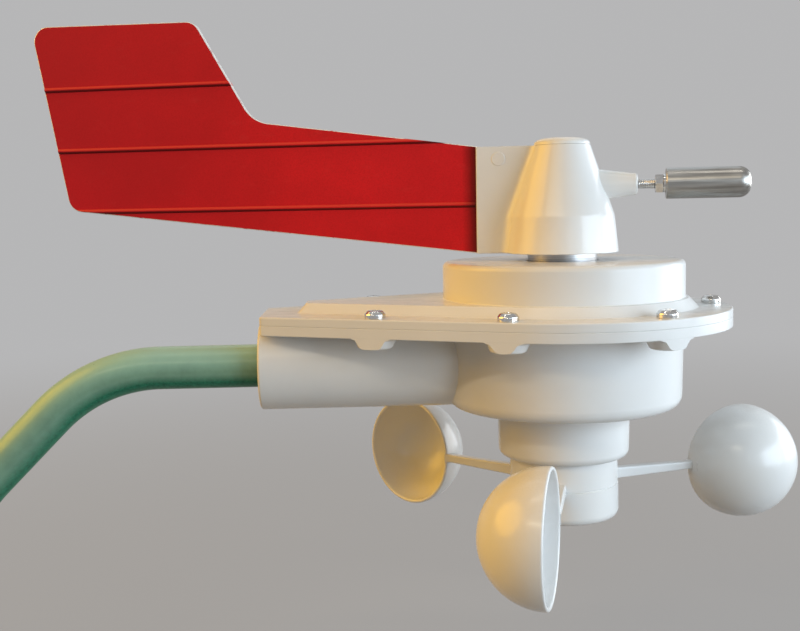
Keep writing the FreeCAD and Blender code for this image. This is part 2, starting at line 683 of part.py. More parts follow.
def vane_axle_parts():
    """Axle, spacer, clip, magnet and holder, nut and washer of the vane."""
    shoulder = vane_bearing_high + S.bearing_width
    groove_top = vane_bearing_low
    groove_foot = groove_top - S.clip
    groove = S.bearing_bore - S.clip_groove
    nut_seat = S.hub_top - S.nut_pocket
    thread_end = nut_seat + S.hub_washer + S.hub_nut + S.thread_spare
    axle = turned("vane_axle", [
        (0, S.vane_axle_foot), (S.bearing_bore, S.vane_axle_foot), (S.bearing_bore, groove_foot),
        (groove, groove_foot), (groove, groove_top), (S.bearing_bore, groove_top),
        (S.bearing_bore, S.hub_cavity_top), (S.axle_thread_radius, S.hub_cavity_top),
        (S.axle_thread_radius, thread_end), (0, thread_end)])
    node(axle, "vane_axle", AXIS, S.vane_heading)
    spacer = turned("vane_axle_spacer", tube_outline(
        S.bearing_bore, S.spacer_radius, shoulder, S.hub_cavity_top))
    node(spacer, "vane_axle_spacer", AXIS, S.vane_heading)
    clip = turned("vane_axle_clip", tube_outline(groove, S.clip_radius, groove_foot, groove_top))
    node(clip, "vane_axle_clip", AXIS, S.vane_heading)
    holder_foot = S.vane_axle_foot - S.magnet
    holder = turned("vane_magnet_holder", [
        (S.magnet_radius, holder_foot), (S.holder_radius, holder_foot),
        (S.holder_radius, holder_foot + S.holder), (S.bearing_bore, holder_foot + S.holder),
        (S.bearing_bore, S.vane_axle_foot), (S.magnet_radius, S.vane_axle_foot)])
    node(holder, "vane_magnet_holder", AXIS, S.vane_heading)
    magnet = turned("vane_magnet", solid_outline(S.magnet_radius, holder_foot, S.vane_axle_foot))
    node(magnet, "vane_magnet", AXIS, S.vane_heading)
    washer = turned("vane_hub_washer", tube_outline(
        S.axle_thread_radius, S.hub_washer_radius, nut_seat, nut_seat + S.hub_washer))
    node(washer, "vane_hub_washer", AXIS, S.vane_heading)
    nut = hexagon_nut("vane_hub_nut", S.hub_nut_flats, S.hub_nut, S.axle_thread_radius, "XY_Plane",
                      (0, 0, nut_seat + S.hub_washer))
    node(nut, "vane_hub_nut", AXIS, S.vane_heading)


def hexagon_nut(name, flats, height, bore, plane, shift):
    """Hexagonal nut on an origin plane; its flats face the sketch's vertical axis."""
    body = new_body(name)
    sketch = sketch_on(body, name + "_outline", plane, shift)
    corner = flats / 2 / cosine(30)
    corners = []
    for step in range(6):
        corners.append((corner * cosine(60 * step), corner * sine(60 * step)))
    polygon(sketch, corners)
    circle(sketch, bore)
    pad(body, sketch, height)
    return body


def vane_hub():
    """White cone with the fin's plate behind and the tapered nose in front."""
    body = new_body("vane_hub")
    cone = sketch_on(body, "hub_cone", "XZ_Plane")
    nut_seat = S.hub_top - S.nut_pocket
    bore = S.axle_thread_radius + S.fit_clearance
    polygon(cone, [
        (S.hub_foot_radius, S.hub_foot), (S.hub_waist_radius, S.hub_waist),
        (S.hub_top_radius, S.hub_top), (S.nut_pocket_radius, S.hub_top),
        (S.nut_pocket_radius, nut_seat), (bore, nut_seat), (bore, S.hub_cavity_top),
        (S.hub_cavity_radius, S.hub_cavity_top), (S.hub_cavity_radius, S.hub_foot)])
    revolve(body, cone)
    plate = sketch_on(body, "hub_plate", "XZ_Plane")
    plate_foot = S.hub_foot + S.plate_lift
    low = -(S.hub_cavity_radius + S.plate_inset)
    high = -(S.nut_pocket_radius + S.plate_inset)
    polygon(plate, [
        (-S.plate_reach, plate_foot), (-S.plate_reach, S.hub_top), (high, S.hub_top),
        (high, S.hub_cavity_top + S.plate_inset), (low, S.hub_cavity_top + S.plate_inset),
        (low, plate_foot)])
    pad(body, plate, S.plate_thick, middle=True)
    nose = sketch_on(body, "nose_outline", "YZ_Plane", (0, S.nose_height, S.nose_start))
    nose_root = S.nose_tip_radius + (S.nose_tip - S.nose_start) * tangent(S.nose_taper)
    circle(nose, nose_root)
    pad(body, nose, S.nose_tip - S.nose_start, taper=-S.nose_taper)
    round_edges(body, S.nose_round, lambda edge: abs(edge.BoundBox.XMin - S.nose_tip.value) < 1e-4
                and abs(edge.BoundBox.XMax - S.nose_tip.value) < 1e-4)
    rod_hole = sketch_on(body, "rod_hole", "YZ_Plane", (0, S.nose_height, S.nose_tip))
    circle(rod_hole, S.rod_radius)
    pocket(body, rod_hole, S.nose_tip - S.rod_start)
    slot = sketch_on(body, "fin_slot", "XZ_Plane")
    slot_end = -(S.plate_reach - S.slot_depth)
    polygon(slot, [
        (-S.plate_reach, plate_foot + S.slot_edge), (-S.plate_reach, S.hub_top - S.slot_edge),
        (slot_end, S.hub_top - S.slot_edge), (slot_end, plate_foot + S.slot_edge)])
    pocket(body, slot, S.fin_thick, middle=True)
    pin = sketch_on(body, "pin_hole", "XZ_Plane")
    circle(pin, S.pin_radius, (-S.pin_out, S.pin_up))
    pocket(body, pin, S.plate_thick, middle=True)
    node(body, "vane_hub", AXIS, S.vane_heading)
    cap = turned("vane_cap", [
        (0, S.hub_top - S.cap_plug), (S.nut_pocket_radius, S.hub_top - S.cap_plug),
        (S.nut_pocket_radius, S.hub_top), (S.hub_top_radius, S.hub_top),
        (S.hub_top_radius * 0.93, S.hub_top + S.cap_dome * 0.3),
        (S.hub_top_radius * 0.75, S.hub_top + S.cap_dome * 0.62),
        (S.hub_top_radius * 0.5, S.hub_top + S.cap_dome * 0.85),
        (S.hub_top_radius * 0.22, S.hub_top + S.cap_dome * 0.98), (0, S.hub_top + S.cap_dome)])
    node(cap, "vane_cap", AXIS, S.vane_heading)


def along(start, end, height):
    """X on the straight line from start to end at a height."""
    share = (height - start[1]) / (end[1] - start[1])
    return start[0] + (end[0] - start[0]) * share


def crosses_at(edge, point):
    """True for an edge square to the XZ plane through a point of that plane."""
    box = edge.BoundBox
    reach = (box.XMin - point[0].value, box.XMax - point[0].value,
             box.ZMin - point[1].value, box.ZMax - point[1].value)
    return max(abs(amount) for amount in reach) < 1e-4


def vane_fin():
    """Sheet fin with a tongue in the hub plate's slot and three level stiffening ribs."""
    body = new_body("vane_fin")
    plate_foot = S.hub_foot + S.plate_lift
    tongue_end = -(S.plate_reach - S.slot_depth)
    root = -S.plate_reach
    step = (-S.fin_step, S.fin_step_top)
    crest = (-S.fin_crest_in, S.fin_crest)
    tail_top = (-S.fin_tail_top, S.fin_crest + S.fin_rise)
    tail_foot = (-S.fin_tail, S.fin_tail_foot)
    sheet_outline = sketch_on(body, "fin_outline", "XZ_Plane")
    polygon(sheet_outline, [
        (tongue_end, S.hub_top - S.slot_edge), (root, S.hub_top - S.slot_edge),
        (root, S.fin_root_top), step, crest, tail_top, tail_foot, (root, plate_foot),
        (root, plate_foot + S.slot_edge), (tongue_end, plate_foot + S.slot_edge)])
    pad(body, sheet_outline, S.fin_thick, middle=True)
    for corners, radius in (((crest, tail_top, tail_foot), S.fin_corner), ((step,), S.fin_step_round)):
        round_edges(body, radius, lambda edge: any(crosses_at(edge, point) for point in corners))
    root_top = (root, S.fin_root_top)
    root_foot = (root, plate_foot)
    half = S.rib_width / 2
    low = S.rib_low
    mid = low + S.rib_pitch
    high = mid + S.rib_pitch
    # both ends of a rib follow the sheet's edges, and the low one stays inside its round corner
    tail = (tail_top, tail_foot)
    corner_in = -(S.fin_tail - S.fin_corner)
    inside_corner = ((corner_in, S.fin_tail_foot), (corner_in, S.fin_crest))
    ribs = sketch_on(body, "fin_ribs", "XZ_Plane")
    for height, below, above, inner in (
            (low, (tail_foot, root_foot), inside_corner, None),
            (mid, tail, tail, (root_top, step)), (high, tail, tail, (step, crest))):
        corners = []
        for level, edge in ((height - half, below), (height + half, above)):
            outer_x = along(*edge, level) + S.rib_edge
            inner_x = along(*inner, level) - S.rib_edge if inner else root
            corners.append(((outer_x, level), (inner_x, level)))
        (low_outer, low_inner), (high_outer, high_inner) = corners
        polygon(ribs, [low_outer, low_inner, high_inner, high_outer])
    pad(body, ribs, S.fin_thick + 2 * S.rib_proud, middle=True)
    pin = sketch_on(body, "fin_pin_hole", "XZ_Plane")
    circle(pin, S.pin_radius, (-S.pin_out, S.pin_up))
    pocket(body, pin, S.plate_thick, middle=True)
    node(body, "vane_fin", AXIS, S.vane_heading)
    dowel = new_body("fin_pin")
    outline = sketch_on(dowel, "fin_pin_outline", "XZ_Plane")
    circle(outline, S.pin_radius, (-S.pin_out, S.pin_up))
    pad(dowel, outline, S.plate_thick, middle=True)
    node(dowel, "fin_pin", AXIS, S.vane_heading)


def counterweight_parts():
    """Threaded rod in the nose, with lock nut, lock washer and counterweight on it."""
    lift = (0, S.nose_height, 0)
    rod = turned("balance_rod", [
        (S.rod_start, 0), (S.rod_reach, 0), (S.rod_reach, S.rod_radius),
        (S.rod_start, S.rod_radius)], axis="H_Axis", shift=lift)
    node(rod, "balance_rod", AXIS, S.vane_heading)
    bore = S.rod_radius + S.fit_clearance
    nut = hexagon_nut("balance_nut", S.nut_flats, S.nut, bore, "YZ_Plane",
                      (0, S.nose_height, S.nut_start))
    node(nut, "balance_nut", AXIS, S.vane_heading)
    washer_start = S.nut_start + S.nut
    weight_start = washer_start + S.washer
    washer = turned("balance_washer", [
        (washer_start, bore), (weight_start, bore), (weight_start, S.washer_radius),
        (washer_start, S.washer_radius)], axis="H_Axis", shift=lift)
    node(washer, "balance_washer", AXIS, S.vane_heading)
    weight_end = weight_start + S.weight_length
    soft = S.weight_round
    weight = turned("balance_weight", [
        (weight_start, bore), (weight_start, S.weight_radius - S.weight_edge),
        (weight_start + S.weight_edge, S.weight_radius), (weight_end - soft, S.weight_radius),
        (weight_end - soft * 0.4, S.weight_radius - soft * 0.2),
        (weight_end - soft * 0.1, S.weight_radius - soft * 0.55),
        (weight_end, S.weight_radius - soft), (weight_end, 0),
        (weight_start + S.weight_bore_depth, 0), (weight_start + S.weight_bore_depth, bore)],
        axis="H_Axis", shift=lift)
    node(weight, "balance_weight", AXIS, S.vane_heading)


# ---------------------------------------------------------------- rotor
rotor_bearing_low = -S.rotor_sleeve_foot + S.shoulder
rotor_bearing_high = -S.rotor_sleeve_top - S.shoulder - S.bearing_width


def rotor_axle_parts():
    """Axle, spacer, clip, magnet disc and the screw that holds the rotor hub."""
    top = -S.rotor_axle_top
    foot = -S.rotor_axle_foot
    groove_foot = rotor_bearing_high + S.bearing_width
    groove_top = groove_foot + S.clip
    groove = S.bearing_bore - S.clip_groove
    screw_top = foot + S.rotor_screw_length
    axle = turned("rotor_axle", [
        (0, screw_top), (S.rotor_screw_radius, screw_top), (S.rotor_screw_radius, foot),
        (S.bearing_bore, foot), (S.bearing_bore, groove_foot), (groove, groove_foot),
        (groove, groove_top), (S.bearing_bore, groove_top), (S.bearing_bore, top), (0, top)])
    node(axle, "rotor_axle", AXIS, S.rotor_heading)
    spacer = turned("rotor_axle_spacer", tube_outline(
        S.bearing_bore, S.spacer_radius, -S.rotor_boss_top, rotor_bearing_low))
    node(spacer, "rotor_axle_spacer", AXIS, S.rotor_heading)
    clip = turned("rotor_axle_clip", tube_outline(groove, S.clip_radius, groove_foot, groove_top))
    node(clip, "rotor_axle_clip", AXIS, S.rotor_heading)
    disc = turned("rotor_magnet", tube_outline(
        S.bearing_bore, S.rotor_disc_radius, top - S.rotor_disc, top))
    node(disc, "rotor_magnet", AXIS, S.rotor_heading)
    recess_top = -S.rotor_foot + S.rotor_wall + S.rotor_screw_seat
    screw = turned("rotor_hub_screw", [
        (0, recess_top - S.screw_head), (S.screw_head_radius, recess_top - S.screw_head),
        (S.screw_head_radius, recess_top), (S.rotor_screw_radius, recess_top),
        (S.rotor_screw_radius, screw_top), (0, screw_top)])
    node(screw, "rotor_hub_screw", AXIS, S.rotor_heading)


def arm_bar(name):
    """Tapered bar of a cup arm, lying along +X."""
    bar = doc.addObject("Part::Wedge", name)
    end = S.cup_circle - S.cup_radius + S.cup_wall
    sizes = {
        "Xmin": -(S.arm_root / 2), "Xmax": S.arm_root / 2,
        "Zmin": -(S.arm_thick / 2), "Zmax": S.arm_thick / 2,
        "X2min": -(S.arm_end / 2), "X2max": S.arm_end / 2,
        "Z2min": -(S.arm_thick / 2), "Z2max": S.arm_thick / 2,
        "Ymin": size(0), "Ymax": end - S.arm_start}
    for name_of, amount in sizes.items():
        bind(bar, name_of, amount)
    # the wedge's X, Y and Z become the row's Z, X and Y
    bar.Placement = Placement(Vector(S.arm_start.value, 0, -S.cup_height.value),
                              Rotation(Vector(1, 1, 1), 240))
    bind(bar, "Placement.Base.x", S.arm_start)
    bind(bar, "Placement.Base.z", -S.cup_height)
    return bar


def cup_form(name, radius):
    """Solid half ball with a straight lip that ends on the arm's front face, turned outwards."""
    ball = doc.addObject("Part::Sphere", f"{name}_ball")
    bind(ball, "Radius", radius)
    ball.Angle1 = 0
    ball.Angle2 = 90
    lip = doc.addObject("Part::Cylinder", f"{name}_lip")
    bind(lip, "Radius", radius)
    bind(lip, "Height", S.cup_lip)
    place(lip, (size(0), size(0), -S.cup_lip))
    form = doc.addObject("Part::MultiFuse", name)
    form.Shapes = [ball, lip]
    # the form's own upper side is turned to face -Y, then about the upright
    middle = S.arm_thick / 2 - S.cup_lip
    form.Placement = Placement(
        Vector(S.cup_circle.value, middle.value, -S.cup_height.value),
        Rotation(Vector(0, 0, 1), -S.cup_yaw.value) * Rotation(Vector(1, 0, 0), 90))
    bind(form, "Placement.Base.x", S.cup_circle)
    bind(form, "Placement.Base.y", middle)
    bind(form, "Placement.Base.z", -S.cup_height)
    return form


def cup(count):
    """One hollow half-ball cup with its arm; the mouth faces +Y of the arm."""
    outer = cup_form(f"cup_{count}_outside", S.cup_radius)
    inner = cup_form(f"cup_{count}_inside", S.cup_radius - S.cup_wall)
    bar = arm_bar(f"cup_{count}_arm")
    lug = doc.addObject("Part::Box", f"cup_{count}_lug")
    lug_start = S.cup_circle - S.cup_radius + S.lug_sink
    bind(lug, "Length", S.lug_reach)
    bind(lug, "Width", S.lug_depth)
    bind(lug, "Height", S.arm_end)
    place(lug, (lug_start, S.arm_thick / 2 - S.lug_depth - S.lug_back, -S.cup_height - S.arm_end / 2))
    shape = doc.addObject("Part::MultiFuse", f"cup_{count}_solid")
    shape.Shapes = [outer, bar, lug]
    hollow = doc.addObject("Part::Cut", f"cup_{count}")
    hollow.Base = shape
    hollow.Tool = inner
    return node(hollow, f"cup_{count}", AXIS, S.rotor_heading + S.cup_angle * (count - 1))


def rotor_hub():
    """Drum closed below and open above, with a boss on the axle and a window for each arm."""
    drum = turned("rotor_drum", [
        (S.rotor_radius, -S.rotor_top), (S.rotor_foot_radius, -S.rotor_foot + S.rotor_round),
        (S.rotor_foot_radius - S.rotor_round * 0.3, -S.rotor_foot + S.rotor_round * 0.3),
        (S.rotor_foot_radius - S.rotor_round, -S.rotor_foot), (S.rotor_screw_recess, -S.rotor_foot),
        (S.rotor_screw_recess, -S.rotor_foot + S.rotor_wall + S.rotor_screw_seat),
        (S.rotor_screw_radius, -S.rotor_foot + S.rotor_wall + S.rotor_screw_seat),
        (S.rotor_screw_radius, -S.rotor_axle_foot), (S.bearing_bore, -S.rotor_axle_foot),
        (S.bearing_bore, -S.rotor_boss_top), (S.rotor_boss_radius, -S.rotor_boss_top),
        (S.rotor_boss_radius, -S.rotor_foot + S.rotor_wall),
        (S.rotor_radius - S.rotor_wall, -S.rotor_foot + S.rotor_wall),
        (S.rotor_radius - S.rotor_wall, -S.rotor_top)])
    windows = []
    for count in (1, 2, 3):
        bar = arm_bar(f"window_{count}")
        turned_bar = doc.addObject("Part::Compound", f"window_turned_{count}")
        turned_bar.Links = [bar]
        place(turned_bar, ORIGIN, S.cup_angle * (count - 1))
        windows.append(turned_bar)
    tools = doc.addObject("Part::MultiFuse", "rotor_windows")
    tools.Shapes = windows
    hub = doc.addObject("Part::Cut", "rotor_hub")
    hub.Base = drum
    hub.Tool = tools
    return node(hub, "rotor_hub", AXIS, S.rotor_heading)


# ---------------------------------------------------------------- circuit board
def box_part(label, x, y, z, length, width, height):
    """Box with its low corner at x, y, z of the head."""
    box = doc.addObject("Part::Box", label)
    bind(box, "Length", length)
    bind(box, "Width", width)
    bind(box, "Height", height)
    return node(box, label, at_axis(x, y, z))


def board_parts():
    """Round board on three posts, with its screws, sensors and terminal block."""
    top = -S.board_top
    board = new_body("circuit_board")
    outline = sketch_on(board, "board_outline", "XY_Plane", (0, 0, top))
    circle(outline, S.board_radius)
    for x, y in POSTS:
        circle(outline, S.post_hole_radius, (x, y))
    pad(board, outline, S.board, reverse=True)
    node(board, "circuit_board", AXIS)
    screws = []
    for count, (x, y) in enumerate(POSTS, start=1):
        screw = pan_screw(f"board_screw_{count}", S.post_hole_radius, S.board_screw,
                          S.board_head_radius, S.board_head)
        place(screw, at_axis(x, y, top))
        screws.append(screw)
    group("board_screws", screws)
    half_chip = S.chip / 2
    box_part("vane_angle_sensor", -half_chip, -half_chip, top, S.chip, S.chip, S.chip_height)
    hall = S.hall_width
    box_part("rotor_speed_sensor", S.ball_pitch - hall / 2, -(hall / 2), top - S.board - S.hall_height,
             hall, hall, S.hall_height)
    box_part("terminal_block", -S.block_out - S.block_width / 2, -(S.block_length / 2), top,
             S.block_width, S.block_length, S.block_height)


# ---------------------------------------------------------------- build and write
def build():
    arm_tube()
    top_cover()
    bottom_housing()
    sealing_cord()
    cover_fasteners()
    tube_fixings()
    sleeve("vane_bearing_sleeve", S.vane_sleeve_foot, S.vane_sleeve_top)
    sleeve("rotor_bearing_sleeve", -S.rotor_sleeve_foot, -S.rotor_sleeve_top)
    bearing_pair("vane", (vane_bearing_low, vane_bearing_high), S.vane_heading)
    bearing_pair("rotor", (rotor_bearing_low, rotor_bearing_high), S.rotor_heading)
    vane_axle_parts()
    vane_hub()
    vane_fin()
    counterweight_parts()
    rotor_axle_parts()
    rotor_hub()
    for count in (1, 2, 3):
        cup(count)
    board_parts()
    doc.recompute()


def write():
    """Check every object, then write one STEP file for each sub-part."""
    for thing in doc.Objects:
        if "Invalid" in thing.State or "Error" in thing.State:
            raise RuntimeError(f"{thing.Name} did not recompute: {thing.State}")
    for part in nodes:
        if part.Shape.isNull() or not part.Shape.isValid():
            raise RuntimeError(f"{part.Label} has no valid shape")
    os.makedirs("parts", exist_ok=True)
    for part in nodes:
        part.Shape.exportStep(f"parts/{part.Label}.step")
    print(f"{len(nodes)} sub-parts written")


build()
write()
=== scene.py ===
"""Wind vane and cup anemometer of a home weather station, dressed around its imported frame.

Lengths are in metres in the frame's own axes.  Pieces are made about the shared upright axis,
with height zero at the seam between cover and housing, and are then settled into the frame.
"""
import json
import math

import bmesh
import bpy
from bpy.props import FloatProperty, FloatVectorProperty, IntProperty, PointerProperty
from mathutils import Matrix, Vector


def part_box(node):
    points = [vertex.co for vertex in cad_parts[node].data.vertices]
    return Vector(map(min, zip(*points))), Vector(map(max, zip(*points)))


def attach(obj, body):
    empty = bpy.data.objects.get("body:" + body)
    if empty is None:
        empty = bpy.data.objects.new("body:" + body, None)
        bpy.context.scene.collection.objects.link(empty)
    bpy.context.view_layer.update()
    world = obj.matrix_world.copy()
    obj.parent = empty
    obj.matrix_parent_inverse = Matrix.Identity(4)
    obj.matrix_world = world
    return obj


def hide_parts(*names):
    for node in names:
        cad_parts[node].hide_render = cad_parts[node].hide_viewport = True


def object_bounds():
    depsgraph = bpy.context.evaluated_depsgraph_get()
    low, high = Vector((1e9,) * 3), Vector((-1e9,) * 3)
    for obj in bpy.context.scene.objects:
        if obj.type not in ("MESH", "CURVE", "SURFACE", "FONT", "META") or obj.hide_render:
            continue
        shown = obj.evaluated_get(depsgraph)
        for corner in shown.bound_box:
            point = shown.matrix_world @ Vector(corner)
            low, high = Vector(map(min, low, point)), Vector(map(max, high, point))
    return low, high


bl_info = {
    "name": "Wind sensor head",
    "version": (1, 0, 0),
    "blender": (4, 5, 0),
    "location": "3D View > Sidebar > Wind sensor",
    "description": "Builds a wind vane and cup anemometer around its engineering frame",
    "category": "Object",
}

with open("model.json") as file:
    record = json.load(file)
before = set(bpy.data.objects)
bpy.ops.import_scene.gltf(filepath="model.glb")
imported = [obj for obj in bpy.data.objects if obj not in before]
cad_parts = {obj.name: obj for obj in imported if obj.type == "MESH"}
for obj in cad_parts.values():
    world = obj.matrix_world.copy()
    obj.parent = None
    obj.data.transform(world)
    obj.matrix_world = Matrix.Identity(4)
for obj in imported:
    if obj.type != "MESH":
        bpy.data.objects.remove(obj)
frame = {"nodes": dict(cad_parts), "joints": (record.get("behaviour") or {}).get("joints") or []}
CAD_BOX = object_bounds()
JOINTS = {joint["name"]: joint for joint in frame["joints"]}
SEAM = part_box("bottom_housing")[1].z
AXIS = Vector((*JOINTS["rotor_turn"]["pos_m"][:2], SEAM))
NOSE_AXIS = JOINTS["counterweight_adjust"]["axis"]
VANE_HEADING = math.atan2(NOSE_AXIS[1], NOSE_AXIS[0])
MM = 0.001
TURN = 2 * math.pi
TINY = 1e-7
CREASE = 32.0  # degrees between faces up to which they shade smoothly
FAR = 8 * MM  # reach of an outline's helper points, which only give its corners their angles
SEAM_EDGE = 0.25 * MM  # rounding of both shells along their seam
SLEEVE_HOLE = 14.3 * MM  # radius of the holes for the vane's and the rotor's sleeve
TOWER = 17 * MM  # radius of the towers round those holes


# ---------------------------------------------------------------- sizes and colours
def length(name, description, millimetres):
    """A length property whose default is written in millimetres."""
    return FloatProperty(name=name, description=description, default=millimetres * MM,
                         unit="LENGTH", precision=5)


def angle(name, description, degrees):
    return FloatProperty(name=name, description=description, default=math.radians(degrees),
                         unit="ROTATION")


def colour(name, description, *channels):
    return FloatVectorProperty(name=name, description=description, default=channels,
                               subtype="COLOR", size=3, min=0.0, max=1.0)


def watts(name, description, power):
    return FloatProperty(name=name, description=description, default=power, min=0.0, unit="POWER")


class ArmSizes(bpy.types.PropertyGroup):
    """Bent tube that carries the head."""
    radius: length("Radius", "Outer radius of the tube", 8.6)
    wall: length("Wall", "Wall of the tube", 1.5)
    spigot: length("Spigot", "Upright end that a mast clamp holds", 50.0)
    bend_radius: length("Bend radius", "Radius of both bends at the tube's middle", 63.0)
    bend: angle("Bend", "Turn of each bend", 45.0)
    slope: length("Slope", "Straight stretch between the bends", 36.0)
    dye: colour("Tube", "Dyed tube", 0.155, 0.285, 0.205)


class HousingSizes(bpy.types.PropertyGroup):
    """Cover and housing that clamp together along the flange."""
    flange_radius: length("Flange radius", "Round end of the flange", 66.0)
    flange_reach: length("Flange reach", "Axis to the flange's flat end", 120.4)
    flange_half: length("Flange end", "Half width of the flat end", 19.0)
    cover_flange: length("Cover flange", "Thickness of the cover's flange", 3.4)
    base_flange: length("Base flange", "Thickness of the housing's flange", 3.9)
    corner: length("Corner", "Rounding of the flange's two corners", 1.6)
    rim: length("Rim", "Rounding of the cover's rim", 0.6)
    platform_radius: length("Platform radius", "Round end of the raised platform", 49.4)
    platform_reach: length("Platform reach", "Axis to the platform's flat end", 102.8)
    platform_half: length("Platform end", "Half width of the platform's flat end", 5.5)
    platform_top: length("Platform top", "Height of the platform above the seam", 7.3)
    platform_skirt: length("Platform skirt", "Width of the sloping skirt", 3.51)
    drum_radius: length("Cover drum", "Radius of the cover's drum", 48.1)
    drum_top: length("Drum top", "Height of the deck above the seam", 22.0)
    base_radius: length("Base drum", "Radius of the housing's drum at the flange", 47.5)
    base_foot: length("Base foot radius", "Radius of the housing's drum at its foot", 46.9)
    base_depth: length("Base depth", "Depth of the housing's drum below the seam", 36.4)
    neck_radius: length("Neck radius", "Radius of the neck", 26.6)
    neck_depth: length("Neck depth", "Depth of the neck's foot below the seam", 57.0)
    wall: length("Wall", "Wall of both shells", 3.0)
    socket_radius: length("Socket radius", "Outside of the arm socket", 17.6)
    socket_reach: length("Socket reach", "Axis to the socket's mouth", 122.0)
    socket_drop: length("Socket drop", "Depth of the socket's middle below the seam", 18.0)
    boss_radius: length("Boss radius", "Screw boss under the flange", 8.0)
    boss_foot: length("Boss foot", "Radius of the boss at its foot", 6.3)
    boss_depth: length("Boss depth", "Depth of the bosses' feet below the seam", 7.8)
    screw_circle: length("Screw circle", "Axis to the screws round the drum", 60.3)
    screw_head: length("Screw head", "Radius of a pan head", 4.0)
    screw_rise: length("Screw rise", "Height of a pan head", 3.2)
    screw_seed: IntProperty(name="Screw turn seed", description="Seed of the screws' random turn",
                            default=4, min=0)
    plastic: colour("Housing", "Moulded housing plastic", 0.79, 0.79, 0.785)


class VaneSizes(bpy.types.PropertyGroup):
    """Hub, fin and counterweight, with the nose along +X before the vane is turned."""
    hub_foot: length("Hub foot", "Height of the hub's foot above the seam", 25.0)
    foot_radius: length("Foot radius", "Radius of the hub's foot", 22.2)
    waist: length("Waist", "Height where the hub's slope changes", 39.6)
    waist_radius: length("Waist radius", "Radius at the waist", 20.7)
    hub_top: length("Hub top", "Height of the hub's top", 67.6)
    top_radius: length("Top radius", "Radius of the hub's top", 11.2)
    cap_rise: length("Cap rise", "Height of the domed cap", 3.0)
    plate_reach: length("Plate reach", "Axis to the plate's tail edge", 34.1)
    plate_half: length("Plate half", "Half thickness of the plate", 3.5)
    nose_height: length("Nose height", "Height of the nose's middle", 51.6)
    nose_tip: length("Nose tip", "Axis to the nose's tip", 29.6)
    nose_tip_radius: length("Nose tip radius", "Radius of the nose's tip", 4.1)
    nose_taper: angle("Nose taper", "Taper of the nose", 7.5)
    fin_half: length("Fin half", "Half thickness of the fin", 1.2)
    rib_half: length("Rib half", "Half width of a rib at the middle of the sheet", 1.35)
    rib_proud: length("Rib height", "Height of a rib above the sheet", 0.9)
    rib_low: length("Lowest rib", "Height of the lowest rib above the seam", 44.7)
    rib_pitch: length("Rib pitch", "From each rib up to the next", 26.1)
    weight_end: length("Weight end", "Axis to the counterweight's far end", 72.6)
    rod_radius: length("Rod radius", "Radius of the threaded rod", 2.0)
    thread_pitch: length("Thread pitch", "Pitch of the rod's thread", 0.7)
    nut_flats: length("Nut flats", "Width of the lock nut across flats", 7.0)
    weight_radius: length("Weight radius", "Radius of the counterweight", 6.05)
    fin: colour("Fin", "Coated sheet fin", 0.66, 0.010, 0.016)


class RotorSizes(bpy.types.PropertyGroup):
    """Cup rotor, with the first arm along +X before the rotor is turned."""
    heading: angle("Heading", "Heading of the first arm", -103.1)
    cups: IntProperty(name="Cups", description="Number of cups", default=3, min=2, max=6)
    cup_circle: length("Cup circle", "Axis to a cup's middle", 83.8)
    cup_radius: length("Cup radius", "Outside radius of a cup", 24.2)
    cup_wall: length("Cup wall", "Wall of a cup", 1.5)
    cup_depth: length("Cup depth", "Depth of the cups' middle below the seam", 67.3)
    cup_lip: length("Cup lip", "Straight stretch of a cup's mouth", 1.4)
    cup_back: length("Cup set-back", "Middle of a cup's ball behind the middle of its arm", 0.6)
    cup_yaw: angle("Cup yaw", "Turn of each cup away from its arm", 3.4)
    arm_half: length("Arm half", "Half thickness of an arm", 2.0)
    arm_root: length("Arm root", "Half height of an arm at the hub", 2.5)
    arm_tip: length("Arm tip", "Half height of an arm at the cup", 1.65)
    hub_radius: length("Hub radius", "Radius of the rotor hub at its top", 21.7)
    hub_foot_radius: length("Hub foot radius", "Radius of the rotor hub at its foot", 22.2)
    hub_top: length("Hub top", "Depth of the rotor hub's top below the seam", 55.0)
    hub_foot: length("Hub foot", "Depth of the rotor hub's foot below the seam", 82.0)
    hub_wall: length("Hub wall", "Wall of the rotor hub", 2.6)
    plastic: colour("Moving parts", "Moulded plastic of vane hub and rotor", 0.81, 0.808, 0.80)


class StageSizes(bpy.types.PropertyGroup):
    """Floor, lamps and camera."""
    backdrop: colour("Backdrop", "Floor and backdrop as the camera sees them", 0.47, 0.47, 0.475)
    window: watts("Window", "Cool lamp in front on the right", 14.4)
    side: watts("Side", "Cool lamp behind on the right", 8.6)
    front: watts("Front", "Weak cool lamp in front", 4.2)
    back: watts("Back", "Cool lamp behind, high up", 3.5)
    bulb: watts("Bulb", "Warm lamp on the left", 50.0)
    strips: watts("Strips", "Narrow lamp in front; the one overhead has half its power", 5.0)
    view_side: length("View side", "Camera's place along X from the vane's axis", -77.6)
    view_back: length("View back", "Camera's distance in front of the axis", 444.63)
    view_rise: length("View rise", "Camera's height above the seam", 46.06)
    view_turn: angle("View turn", "Camera's heading to the right of straight ahead", 1.53)
    view_drop: angle("View drop", "Camera's pitch below level", 5.79)
    view_roll: angle("View roll", "Camera's roll", -1.14)
    lens: FloatProperty(name="Lens", description="Focal length on a 36 mm wide sensor",
                        default=50.02, unit="CAMERA")


def sizes(group):
    return getattr(bpy.context.scene, f"wind_sensor_{group}")


# ---------------------------------------------------------------- outlines
def scaled(points):
    """Millimetre outline corners or points in metres."""
    return [tuple(value * MM for value in point) for point in points]


def arc(x, y, radius, start, sweep, steps):
    """Points round (x, y) from a bearing through a sweep, both ends included."""
    turns = [start + sweep * step / steps for step in range(steps + 1)]
    return [(x + radius * math.cos(turn), y + radius * math.sin(turn)) for turn in turns]


def between(start, end, steps):
    """Points that part a straight stretch into even steps, without its ends."""
    return [tuple(a + (b - a) * step / steps for a, b in zip(start, end))
            for step in range(1, steps)]


